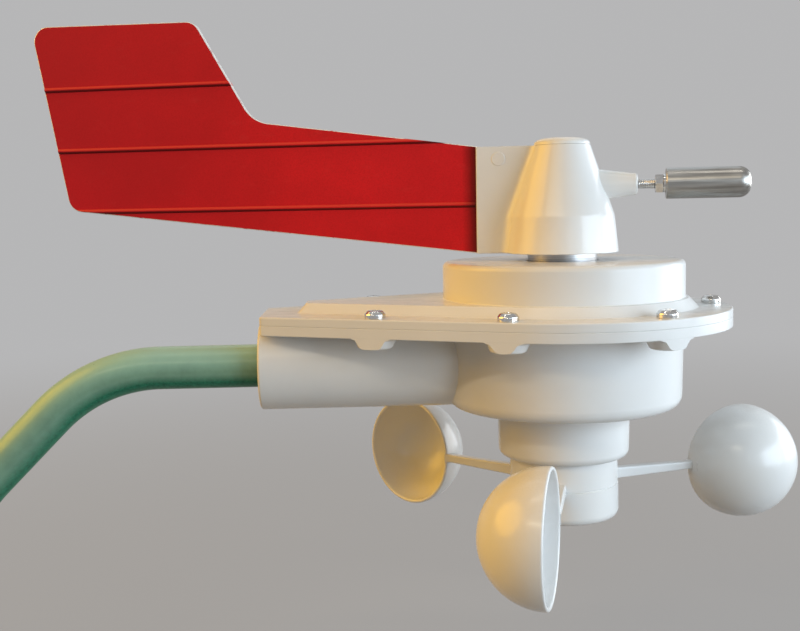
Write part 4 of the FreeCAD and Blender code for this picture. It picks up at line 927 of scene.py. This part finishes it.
class WINDSENSOR_OT_bottom_housing(Piece):
    """Build the housing: flange, bosses, drum, neck, sleeve tower and the arm's socket"""
    bl_idname = "wind_sensor.bottom_housing"
    bl_label = "Bottom housing"

    def execute(self, context):
        s = sizes("housing")
        flange = Pear(s.flange_radius, s.flange_reach, s.flange_half, s.corner)
        rim = rounded([(FAR, 0, 0), (0, 0, SEAM_EDGE), (0, -s.base_flange, s.rim * 0.7),
                       (FAR, -s.base_flange, 0)])[1:-1]
        room = sizes("rotor").hub_foot_radius + 0.65 * MM
        foot = 54 * MM
        top = 28 * MM
        floor = s.base_depth - s.wall
        inside = s.base_foot - s.wall
        shell = rounded([
            (s.base_radius + FAR, -s.base_flange, 0), (s.base_radius, -s.base_flange, 1.2 * MM),
            (s.base_foot, -s.base_depth, 5 * MM), (s.neck_radius, -s.base_depth, 0.8 * MM),
            (s.neck_radius - 0.4 * MM, -s.neck_depth, 3.0 * MM), (room, -s.neck_depth, 0.15 * MM),
            (room, -s.base_depth, 0.8 * MM), (TOWER, -s.base_depth, 0.8 * MM),
            (TOWER, -foot, 0.4 * MM), (SLEEVE_HOLE, -foot, 0.3 * MM),
            (SLEEVE_HOLE, -top, 0.3 * MM), (TOWER, -top, 0.4 * MM), (TOWER, -floor, 0.8 * MM),
            (inside, -floor, 2 * MM), (inside, 0, 0)], closed=False)[1:]
        housing = loft("housing_shell", flange.rings(rim) + circles_like(flange.ring(0, 0), shell))
        mouth = -s.socket_reach
        inner = 3 * MM - inside
        socket = lathe("socket", rounded(
            [(0, mouth, 0), (s.socket_radius, mouth, 1.1 * MM), (s.socket_radius, inner, 0.5 * MM),
             (0, inner, 0)], closed=False), 96)
        # The bosses are kept just inside the rim, where the wide ones would stand past it.
        inset = 0.04 * MM
        bosses = [combine(
            screw_boss(s, spot),
            [loft("boss_trim", flange.rings([(inset, -12 * MM), (inset, -1.0 * MM)]), False)],
            "INTERSECT") for spot in screw_spots(s)]
        combine(housing, [along_x(socket, -s.socket_drop)] + bosses)
        tube = sizes("arm").radius + 0.1 * MM
        groove, stop, cable = 11 * MM, mouth + 60 * MM, 6 * MM
        groove_end = mouth + 2.5 * MM
        bore = lathe("bore", [
            (0, mouth - 1 * MM), (groove, mouth - 1 * MM), (groove, groove_end),
            (tube, groove_end), (tube, stop), (cable, stop), (cable, inner + 6 * MM),
            (0, inner + 6 * MM)], 64)
        hole = scaled([(0, -40), (2.55, -40), (2.55, -22), (0, -22)])
        holes = [move(lathe("screw_hole", hole, 32), (-reach * MM, 0, 0)) for reach in (80, 104)]
        combine(housing, [along_x(bore, -s.socket_drop)] + holes, "DIFFERENCE")
        dress(settle(housing), "housing", "white_housing", "bottom_housing")
        return {"FINISHED"}


def pan_screw(s):
    """Pan-head screw with a cross recess, its head seated at height zero."""
    screw = lathe("pan_screw", rounded(
        scaled([(0, -10.0, 0), (1.7, -10.0, 0.3), (2.0, -9.4, 0), (2.0, 0.0, 0)])
        + [(s.screw_head - 0.05 * MM, 0, 0.2 * MM),
           (s.screw_head, s.screw_rise * 0.5, 0.9 * MM),
           (s.screw_head * 0.72, s.screw_rise * 0.93, 1.0 * MM),
           (0, s.screw_rise, 0)], closed=False), 40)
    span, width, depth, taper = 4.3 * MM, 0.9 * MM, 3.2 * MM, 0.45
    blades = []
    for turn in (0, math.pi / 2):
        build = bmesh.new()
        bmesh.ops.create_cube(build, size=1.0)
        for vert in build.verts:
            share = 1.0 if vert.co.z > 0 else taper
            vert.co = Vector((vert.co.x * span * share, vert.co.y * width * share,
                              s.screw_rise + vert.co.z * depth))
        blades.append(move(piece_from(build, "blade"), turn=turn))
    return combine(screw, blades, "DIFFERENCE")


class WINDSENSOR_OT_cover_screws(Piece):
    """Build the seven pan-head screws that clamp cover and housing"""
    bl_idname = "wind_sensor.cover_screws"
    bl_label = "Cover screws"

    def execute(self, context):
        s = sizes("housing")
        screw = pan_screw(s)
        spots = points_mesh("screw_spots", [(x, y, s.cover_flange) for x, y in screw_spots(s)])
        screws = scatter_tree().grow("cover_screw_set", spots, Piece=screw, Seed=s.screw_seed,
                                     Material=finish_of("polished_steel"))
        bpy.data.objects.remove(screw)
        dress(settle(screws), "housing", "polished_steel", "cover_screws")
        return {"FINISHED"}


class WINDSENSOR_OT_collar(Piece):
    """Build the turned collar that the vane hub stands on"""
    bl_idname = "wind_sensor.collar"
    bl_label = "Bearing collar"

    def execute(self, context):
        outer, seat, bore = 13.9, 11, 9.5
        foot, low, high, top = 5, 13, 32.5, 40.5
        collar = lathe("vane_collar", rounded(scaled([
            (outer, foot, 0.3), (outer, top, 0.3), (seat, top, 0.3), (seat, high, 0),
            (bore, high, 0), (bore, low, 0), (seat, low, 0), (seat, foot, 0.3)])), 96)
        dress(settle(collar), "housing", "grey_metal", "vane_bearing_sleeve")
        return {"FINISHED"}


# ---------------------------------------------------------------- vane
def hub_cone(s, slope):
    """Cone with the plate and the nose, open below and hollow for the collar and the nut."""
    section = Keyhole(s.plate_half, s.plate_reach, 3.6 * MM, 0.5 * MM)
    soft, crisp, bend = 0.45 * MM, 0.15 * MM, 0.7 * MM
    quarter = [math.pi / 8 * step for step in range(5)]
    rings = [section.ring(s.foot_radius, s.hub_foot + soft * (1 - math.cos(turn)),
                          soft * (1 - math.sin(turn))) for turn in quarter]
    rings += [section.ring(s.waist_radius + 0.07 * MM, s.waist - bend),
              section.ring(s.waist_radius - 0.05 * MM, s.waist)]
    low, high = s.waist + bend, s.hub_top - crisp
    upper = [(low + (high - low) * step / 8, 0.0) for step in range(9)]
    upper += [(s.hub_top - crisp * (1 - math.sin(turn)), crisp * (1 - math.cos(turn)))
              for turn in quarter[1:]]
    rings += [section.ring(s.waist_radius - slope * (height - s.waist), height, inset)
              for height, inset in upper]
    pocket, bolt, cavity, seat, ceiling = 7.6, 3.1, 15.9, 57.4, 42.0
    rings += circles_like(rings[0], scaled([
        (pocket, 67.6), (pocket, seat), (bolt, seat), (bolt, ceiling), (15.0, ceiling),
        (cavity, 41.1), (cavity, 25.3), (16.2, 25.0)]))
    hub = loft("vane_hub_shell", rings, crease=28)
    tip, start, bore = s.nose_tip, 10 * MM, 2.05 * MM
    root = s.nose_tip_radius + (tip - start) * math.tan(s.nose_taper)
    nose = lathe("nose", rounded([
        (0, start, 0), (root, start, 0), (s.nose_tip_radius, tip, 1.2 * MM),
        (bore, tip, 0.2 * MM), (bore, tip - 1.5 * MM, 0), (0, tip - 1.5 * MM, 0)],
        closed=False), 64)
    return combine(hub, [along_x(nose, s.nose_height)], crease=28)


def hub_cap(s, slope):
    """Domed cap with a plug that closes the hub's pocket."""
    base = s.hub_top + 0.05 * MM
    plug, plug_foot = 7.5 * MM, s.hub_top - 2.4 * MM
    side = 0.45 * MM
    rim = s.top_radius - slope * side
    dome = [(rim - 5.4 * MM * (1 - math.cos(math.pi / 24 * step)),
             base + side + (s.cap_rise - side - 0.2 * MM) * math.sin(math.pi / 24 * step))
            for step in range(13)]
    return lathe("vane_hub_cap", [
        (0, plug_foot), (plug, plug_foot), (plug, base), (s.top_radius, base)] + dome
        + [(0, s.hub_top + s.cap_rise)], 96)


def plate_pin(s):
    """Pin across the plate that holds the fin."""
    proud = s.plate_half + 0.22 * MM
    step = s.plate_half - 0.1 * MM
    head, shank = 2.6 * MM, 2.9 * MM
    pin = lathe("plate_pin", rounded([
        (0, -proud, 0), (head, -proud, 0.2 * MM), (shank, -step, 0), (shank, step, 0),
        (head, proud, 0.2 * MM), (0, proud, 0)], closed=False), 48)
    return move(pin, (-25.1 * MM, 0, 62.7 * MM), math.pi / 2, "X")


class WINDSENSOR_OT_vane_hub(Piece):
    """Build the vane's cone with its plate and nose, the domed cap and the fin's pin"""
    bl_idname = "wind_sensor.vane_hub"
    bl_label = "Vane hub"

    def execute(self, context):
        s = sizes("vane")
        slope = (s.waist_radius - s.top_radius) / (s.hub_top - s.waist)
        for piece, node in ((hub_cone(s, slope), "vane_hub"), (hub_cap(s, slope), "vane_cap"),
                            (plate_pin(s), "fin_pin")):
            dress(settle(piece, VANE_HEADING), "vane", "white_moving_parts", node)
        return {"FINISHED"}


FIN_OUTLINE = [(-34.0, 68.0, 0), (-127.4, 80.8, 13.5), (-151.5, 122.8, 6.5), (-225.0, 123.8, 6.5),
               (-210.5, 45.3, 6.5), (-34.0, 25.1, 0)]


def fin_slab(name, half, inset=0.0):
    """Slab of the fin's outline, drawn in by about the inset."""
    outline = [Vector(point) for point in rounded(scaled(FIN_OUTLINE), steps=10)]
    low, high = [Vector((end(point.x for point in outline), end(point.y for point in outline)))
                 for end in (min, max)]
    middle, spread = (low + high) / 2, (high - low) / 2
    shrink = Vector((1 - inset / spread.x, 1 - inset / spread.y))
    drawn = [middle + (point - middle) * shrink for point in outline]
    return loft(name, [[Vector((point.x, side, point.y)) for point in drawn]
                       for side in (-half, half)], closed=False)


class WINDSENSOR_OT_vane_fin(Piece):
    """Build the red sheet fin with its three pressed ribs"""
    bl_idname = "wind_sensor.vane_fin"
    bl_label = "Vane fin"

    def execute(self, context):
        s = sizes("vane")
        fin = fin_slab("fin_sheet", s.fin_half)
        for finish in ("red_fin", "fin_edge"):
            fin.data.materials.append(finish_of(finish))
        for face in fin.data.polygons:
            face.material_index = 0 if abs(face.normal.y) > 0.5 else 1
        soften(fin, 0.28 * MM, material=1)
        smooth(baked(fin), 20)
        dress(settle(fin, VANE_HEADING), "vane", "red_fin", "vane_fin")
        lines = []
        for count, inner in enumerate((-33.0, -42.0, -130.0)):
            height = s.rib_low + s.rib_pitch * count
            lines += [(-232 * MM, 0, height), (inner * MM, 0, height)]
        ribs = rib_tree().grow(
            "fin_ribs", points_mesh("rib_lines", lines, [(0, 1), (2, 3), (4, 5)]),
            Half=s.rib_half, Flattening=(s.fin_half + s.rib_proud) / s.rib_half,
            Material=finish_of("red_fin"))
        combine(ribs, [fin_slab("rib_limit", 5 * MM, 0.5 * MM)], "INTERSECT")
        dress(settle(ribs, VANE_HEADING), "vane", "red_fin", "vane_fin")
        return {"FINISHED"}


def ring_about_x(x, radii):
    """Ring across +X with its radii at even bearings."""
    return [(x, radius * math.cos(turn), radius * math.sin(turn))
            for radius, turn in zip(radii, bearings(len(radii)))]


def threaded(name, radius, start, end, pitch, sides=24, per_turn=8):
    """Rod along +X whose thread is a helix with narrow flat crests."""
    crest = 0.15
    count = int((end - start) / pitch * per_turn)
    rings = []
    for row in range(count + 1):
        x = start + (end - start) * row / count
        depths = [abs((x / pitch - step / sides) % 1.0 - 0.5) * 2 for step in range(sides)]
        rings.append(ring_about_x(x, [radius - pitch * 0.5 * max(0.0, depth - crest)
                                      for depth in depths]))
    return loft(name, rings, closed=False, crease=50)


def lock_nut(name, flats, bore, start, end, sides=96):
    """Hexagon nut along +X with both faces chamfered, as the lesser of hexagon and cone."""
    corner = flats / math.sqrt(3)
    land = flats / 2 * 0.96
    chamfer = (corner - land) * math.tan(math.radians(30))
    cone = [(start, land)] + [(start + chamfer * step / 5, land + (corner - land) * step / 5)
                              for step in range(1, 6)]
    cone += [(start + end - x, radius) for x, radius in reversed(cone)]

    hexagon = [flats / 2 / math.cos(turn % (math.pi / 3) - math.pi / 6)
               for turn in bearings(sides)]
    rings = [ring_about_x(x, [bore] * sides) for x in (end, start)]
    rings += [ring_about_x(x, [min(reach, limit) for reach in hexagon]) for x, limit in cone]
    return loft(name, rings)


class WINDSENSOR_OT_counterweight(Piece):
    """Build the threaded rod, its lock nut and the counterweight"""
    bl_idname = "wind_sensor.counterweight"
    bl_label = "Counterweight"

    def execute(self, context):
        s = sizes("vane")
        height = (0, 0, s.nose_height)
        rod = threaded("nose_rod", s.rod_radius, 12 * MM, 56 * MM, s.thread_pitch)
        dress(settle(move(rod, height), VANE_HEADING), "vane", "polished_steel", "balance_rod")
        bore = s.rod_radius + 0.05 * MM
        nut = lock_nut("weight_lock_nut", s.nut_flats, bore, 36.2 * MM, 39.4 * MM)
        dress(settle(move(nut, height), VANE_HEADING), "counterweight", "polished_steel",
              "balance_nut")
        start, end = 40.3 * MM, s.weight_end
        bore_end = start + 24 * MM
        weight = lathe("counterweight_barrel", rounded([
            (0, bore_end, 0), (bore, bore_end, 0), (bore, start, 0.2 * MM),
            (s.weight_radius, start, 0.6 * MM), (s.weight_radius, end, 4.6 * MM),
            (0, end, 0)], closed=False, steps=10), 96, crease=40)
        dress(settle(along_x(weight, s.nose_height), VANE_HEADING), "counterweight",
              "brushed_steel", "balance_weight")
        return {"FINISHED"}


# ---------------------------------------------------------------- rotor
class WINDSENSOR_OT_rotor_hub(Piece):
    """Build the rotor's drum with its parting line, inner boss and screw recess"""
    bl_idname = "wind_sensor.rotor_hub"
    bl_label = "Rotor hub"

    def execute(self, context):
        s = sizes("rotor")
        radius, top, foot = s.hub_radius, -s.hub_top, -s.hub_foot
        split = -68 * MM
        groove = radius - 0.2 * MM
        inside, floor = radius - s.hub_wall, foot + s.hub_wall
        recess, bolt, socket, boss = 4.6 * MM, 2.0 * MM, 4.0 * MM, 9 * MM
        step, socket_foot, boss_top = floor + 1.2 * MM, -76 * MM, -58.6 * MM
        drum = lathe("rotor_drum", rounded([
            (radius, top, 0.4 * MM), (radius + 0.05 * MM, split + 0.25 * MM, 0.1 * MM),
            (groove, split + 0.1 * MM, 0), (groove, split - 0.15 * MM, 0),
            (radius + 0.3 * MM, split - 0.35 * MM, 0.1 * MM), (s.hub_foot_radius, foot, 3.3 * MM),
            (recess, foot, 0.3 * MM), (recess, step, 0), (bolt, step, 0), (bolt, socket_foot, 0),
            (socket, socket_foot, 0), (socket, boss_top, 0), (boss, boss_top, 0.4 * MM),
            (boss, floor, 1.0 * MM), (inside, floor, 1.5 * MM), (inside, top, 0.4 * MM)]), 120)
        dress(settle(drum, s.heading), "rotor", "white_moving_parts", "rotor_hub")
        return {"FINISHED"}


def cup_shell(s):
    """Half-ball shell about its arm's end, its mouth towards +Y with a rounded lip."""
    outer, inner = s.cup_radius, s.cup_radius - s.cup_wall
    lip = s.cup_wall / 2
    quarter = [math.pi / 2 * step / 28 for step in range(29)]
    outline = [(outer * math.sin(turn), -outer * math.cos(turn)) for turn in quarter]
    outline += arc(inner + lip, s.cup_lip - lip, lip, 0, math.pi, 8)
    outline += [(inner * math.sin(turn), -inner * math.cos(turn)) for turn in reversed(quarter)]
    shell = lathe("cup_shell", outline, 96, crease=50)
    shell.data.transform(Matrix.Translation((s.cup_circle, -s.cup_back, 0))
                         @ Matrix.Rotation(-s.cup_yaw, 4, "Z")
                         @ Matrix.Rotation(-math.pi / 2, 4, "X"))
    return shell


def cup_arm(s):
    """Tapered arm along +X with soft edges, flared at the cup, its place the axis."""
    start, end = 12 * MM, s.cup_circle - s.cup_radius + s.cup_wall * 0.8
    rings = []
    for step in range(41):
        share = step / 40
        flare = (max(0.0, share - 0.93) / 0.07) ** 2
        half = s.arm_root + (s.arm_tip - s.arm_root) * share + 0.7 * MM * flare
        thick = s.arm_half + 0.5 * MM * flare
        rings.append([Vector((start + (end - start) * share, across, up))
                      for across, up in bar_section(-thick, thick, half, 0.7 * MM, 4)])
    return loft("cup_arm", rings, closed=False, crease=40)


def cup_lug(s):
    """Short block that ties the arm to the cup's outside, cut back to the cup's hollow."""
    start = s.cup_circle - s.cup_radius + 0.3 * MM
    front = s.arm_half - 1.0 * MM
    outline = bar_section(front - 6.5 * MM, front, s.arm_tip, 0.5 * MM, 3)
    lug = loft("lug", [[Vector((x, across, up)) for across, up in outline]
                       for x in (start, start + 3.2 * MM)], closed=False)
    inner = s.cup_radius - s.cup_wall
    ball = [(inner * math.sin(math.pi * step / 48), -inner * math.cos(math.pi * step / 48))
            for step in range(49)]
    hollow = move(lathe("hollow", ball, 96), (s.cup_circle, -s.cup_back, 0))
    return combine(lug, [hollow], "DIFFERENCE")


class WINDSENSOR_OT_cups(Piece):
    """Build one cup with its arm and lug, and set three round the rotor hub"""
    bl_idname = "wind_sensor.cups"
    bl_label = "Cups"

    def execute(self, context):
        s = sizes("rotor")
        shell = cup_shell(s)
        lug = cup_lug(s)
        move(combine(shell, [cup_arm(s), lug], crease=40), (0, 0, -s.cup_depth))
        cups = ring_tree().grow(
            "cup_set", points_mesh("cup_ring", [(0, 0, 0)]), Piece=shell, Count=s.cups,
            Heading=s.heading, Material=finish_of("white_moving_parts"))
        bpy.data.objects.remove(shell)
        dress(settle(smooth(cups, 40)), "rotor", "white_moving_parts",
              "cup_1", "cup_2", "cup_3")
        return {"FINISHED"}


# ---------------------------------------------------------------- the frame's own parts
CARRIED = {
    "black_rubber": ["housing_seal"],
    "blue_rubber": ["tube_seal"],
    "polished_steel": ["tube_set_screws", "vane_hub_nut", "vane_hub_washer", "balance_washer",
                       "rotor_hub_screw", "board_screws"],
    "brass": ["threaded_inserts"],
    "grey_metal": ["rotor_bearing_sleeve"],
    "bearing_steel": [f"{side}_bearing_{part}" for side in ("vane", "rotor")
                      for part in ("outer_rings", "inner_rings", "balls")],
    "brushed_steel": ["vane_axle", "vane_axle_spacer", "rotor_axle", "rotor_axle_spacer"],
    "spring_steel": ["vane_axle_clip", "rotor_axle_clip"],
    "black_plastic": ["vane_magnet_holder"],
    "magnet_plating": ["vane_magnet"],
    "ferrite": ["rotor_magnet"],
    "board_green": ["circuit_board"],
    "chip_black": ["vane_angle_sensor", "rotor_speed_sensor"],
    "terminal_green": ["terminal_block"],
}


class WINDSENSOR_OT_inner_parts(Piece):
    """Give the frame's own bearings, axles, board and fixings their finishes"""
    bl_idname = "wind_sensor.inner_parts"
    bl_label = "Inner parts"

    def execute(self, context):
        for finish, names in CARRIED.items():
            for name in names:
                places = frame["nodes"][name].material_slots
                if not places:
                    raise RuntimeError(f"{name} has no material slot to fill")
                for place in places:
                    place.material = finish_of(finish)
        return {"FINISHED"}


# ---------------------------------------------------------------- stage
def shown_to_camera(nodes, lit, pale, share):
    """Mixes a lit shader with a plain glow for camera, mirrors and glass, by a share."""
    rays = nodes.add("ShaderNodeLightPath").outputs
    seen = nodes.maths("MAXIMUM", rays["Is Camera Ray"], rays["Is Glossy Ray"])
    seen = nodes.maths("MAXIMUM", seen, rays["Is Transmission Ray"])
    sky = lit.bl_idname == "ShaderNodeBackground"
    glow = nodes.add(lit.bl_idname if sky else "ShaderNodeEmission",
                     {"Color": (*pale, 1.0), "Strength": 1.0})
    mix = nodes.add("ShaderNodeMixShader", {
        0: nodes.maths("MULTIPLY", seen, share), 1: lit.outputs[0], 2: glow.outputs[0]})
    end = nodes.tree.nodes["World Output" if sky else "Material Output"]
    nodes.link(mix.outputs[0], end.inputs["Surface"])


def floor_material(pale):
    """Matte floor that keeps shadows near the object and passes into the backdrop further off."""
    finish = Finish("pale_floor", pale, roughness=0.8, specular=0.15)
    finish.finished(finish.tint(finish.noise(6, 4), shade(pale, 0.55), shade(pale, 0.57)), None,
                    (finish.noise(500, 2), 0.0001, 0.08))
    away = finish.add("ShaderNodeVectorMath", {0: finish.place, 1: (AXIS.x, AXIS.y, 0.0)},
                      operation="DISTANCE").outputs["Value"]
    share = finish.spread(away, 0.6, 1.0, 0.2, 1.3, interpolation_type="SMOOTHSTEP")
    shown_to_camera(finish, finish.shader, pale, share)
    return finish.material


def soft_lamp(name, place, target, width, height, power, tint, shape="RECTANGLE"):
    lamp = bpy.data.lights.new(name, "AREA")
    lamp.shape = shape
    lamp.size = width
    lamp.size_y = height
    lamp.energy = power
    lamp.color = tint
    holder = placed(name, lamp)
    holder.location = place
    holder.rotation_euler = (target - place).to_track_quat("-Z", "Y").to_euler()


def lamp_spot(bearing, rise, distance):
    """Place of a lamp, its bearing in degrees from straight in front towards +X."""
    turn, tilt = math.radians(bearing), math.radians(rise)
    return AXIS + distance * Vector((math.sin(turn) * math.cos(tilt),
                                     -math.cos(turn) * math.cos(tilt), math.sin(tilt)))


def build_camera(s):
    """Camera at its place before the axis, turned, pitched and rolled."""
    lens = bpy.data.cameras.new("camera")
    lens.sensor_width = 36.0
    lens.lens = s.lens
    lens.clip_start = 0.01
    ahead = Vector((math.sin(s.view_turn) * math.cos(s.view_drop),
                    math.cos(s.view_turn) * math.cos(s.view_drop), -math.sin(s.view_drop)))
    across = Vector((math.cos(s.view_turn), -math.sin(s.view_turn), 0.0))
    right = across * math.cos(s.view_roll) + across.cross(ahead) * math.sin(s.view_roll)
    facing = Matrix((right, right.cross(ahead), -ahead)).transposed().to_4x4()
    camera = placed("camera", lens)
    spot = AXIS + Vector((s.view_side, -s.view_back, s.view_rise))
    camera.matrix_world = Matrix.Translation(spot) @ facing
    bpy.context.scene.camera = camera


class WINDSENSOR_OT_stage(Piece):
    """Build the floor, backdrop, soft lamps and camera"""
    bl_idname = "wind_sensor.stage"
    bl_label = "Stage"

    def execute(self, context):
        s = sizes("stage")
        reach = 6.0
        below = CAD_BOX[0][2] - 0.5 * MM
        build = bmesh.new()
        build.faces.new([build.verts.new((AXIS.x + x * reach, AXIS.y + y * reach, below))
                         for x, y in ((-1, -1), (1, -1), (1, 1), (-1, 1))])
        floor = piece_from(build, "floor")
        floor.data.materials.append(floor_material(s.backdrop))

        world = bpy.data.worlds.new("studio")
        context.scene.world = world
        world.use_nodes = True
        light = world.node_tree.nodes["Background"]
        light.inputs["Color"].default_value = (1.0, 0.92, 0.80, 1.0)
        light.inputs["Strength"].default_value = 0.05
        shown_to_camera(Nodes(world.node_tree), light, s.backdrop, 1.0)

        middle = AXIS + Vector((-0.02, 0, 0))
        cool = (0.76, 0.89, 1.0)
        for name, spot, size, power, tint, *shape in (
                ("window", (56, 9, 1.3), (1.1, 0.7), s.window, cool),
                ("side", (106, 9, 1.2), (1.0, 0.66), s.side, (0.92, 0.97, 1.0)),
                ("front", (28, 14, 1.7), (1.6, 0.9), s.front, (0.64, 0.83, 1.0)),
                ("back", (180, 44, 1.8), (1.2, 1.2), s.back, cool),
                ("bulb", (-88, 27, 2.4), (2.2, 2.0), s.bulb, (1.0, 0.52, 0.02), "ELLIPSE"),
                ("strip_front", (-28, 34, 2.0), (1.2, 0.05), s.strips, (1.0, 0.86, 0.62)),
                ("strip_top", (0, 83, 1.5), (1.4, 0.07), s.strips / 2, (1.0, 0.95, 0.85))):
            soft_lamp(name, lamp_spot(*spot), middle, *size, power, tint, *shape)

        build_camera(s)
        context.scene.view_settings.view_transform = "Standard"
        return {"FINISHED"}


# ---------------------------------------------------------------- panel and registration
BUILDERS = (
    WINDSENSOR_OT_arm_tube, WINDSENSOR_OT_top_cover, WINDSENSOR_OT_bottom_housing,
    WINDSENSOR_OT_cover_screws, WINDSENSOR_OT_collar, WINDSENSOR_OT_vane_hub,
    WINDSENSOR_OT_vane_fin, WINDSENSOR_OT_counterweight, WINDSENSOR_OT_rotor_hub,
    WINDSENSOR_OT_cups, WINDSENSOR_OT_inner_parts, WINDSENSOR_OT_stage,
)
GROUPS = {"arm": ArmSizes, "housing": HousingSizes, "vane": VaneSizes, "rotor": RotorSizes,
          "stage": StageSizes}


class WINDSENSOR_PT_builder(bpy.types.Panel):
    """Sizes, colours and builders of the wind sensor"""
    bl_idname = "WINDSENSOR_PT_builder"
    bl_label = "Wind sensor"
    bl_space_type = "VIEW_3D"
    bl_region_type = "UI"
    bl_category = "Wind sensor"

    def draw(self, context):
        for builder in BUILDERS:
            self.layout.operator(builder.bl_idname)
        for group in GROUPS:
            box = self.layout.box()
            box.label(text=group.title())
            values = sizes(group)
            for key in values.bl_rna.properties.keys():
                if key not in ("rna_type", "name"):
                    box.prop(values, key)


def register():
    for name, group in GROUPS.items():
        bpy.utils.register_class(group)
        setattr(bpy.types.Scene, f"wind_sensor_{name}", PointerProperty(type=group))
    for builder in (*BUILDERS, WINDSENSOR_PT_builder):
        bpy.utils.register_class(builder)


def unregister():
    for builder in (WINDSENSOR_PT_builder, *reversed(BUILDERS)):
        bpy.utils.unregister_class(builder)
    for name, group in GROUPS.items():
        delattr(bpy.types.Scene, f"wind_sensor_{name}")
        bpy.utils.unregister_class(group)


def main():
    register()
    bpy.ops.wind_sensor.arm_tube()
    bpy.ops.wind_sensor.top_cover()
    bpy.ops.wind_sensor.bottom_housing()
    bpy.ops.wind_sensor.cover_screws()
    bpy.ops.wind_sensor.collar()
    bpy.ops.wind_sensor.vane_hub()
    bpy.ops.wind_sensor.vane_fin()
    bpy.ops.wind_sensor.counterweight()
    bpy.ops.wind_sensor.rotor_hub()
    bpy.ops.wind_sensor.cups()
    bpy.ops.wind_sensor.inner_parts()
    bpy.ops.wind_sensor.stage()


if __name__ == "__main__":
    main()
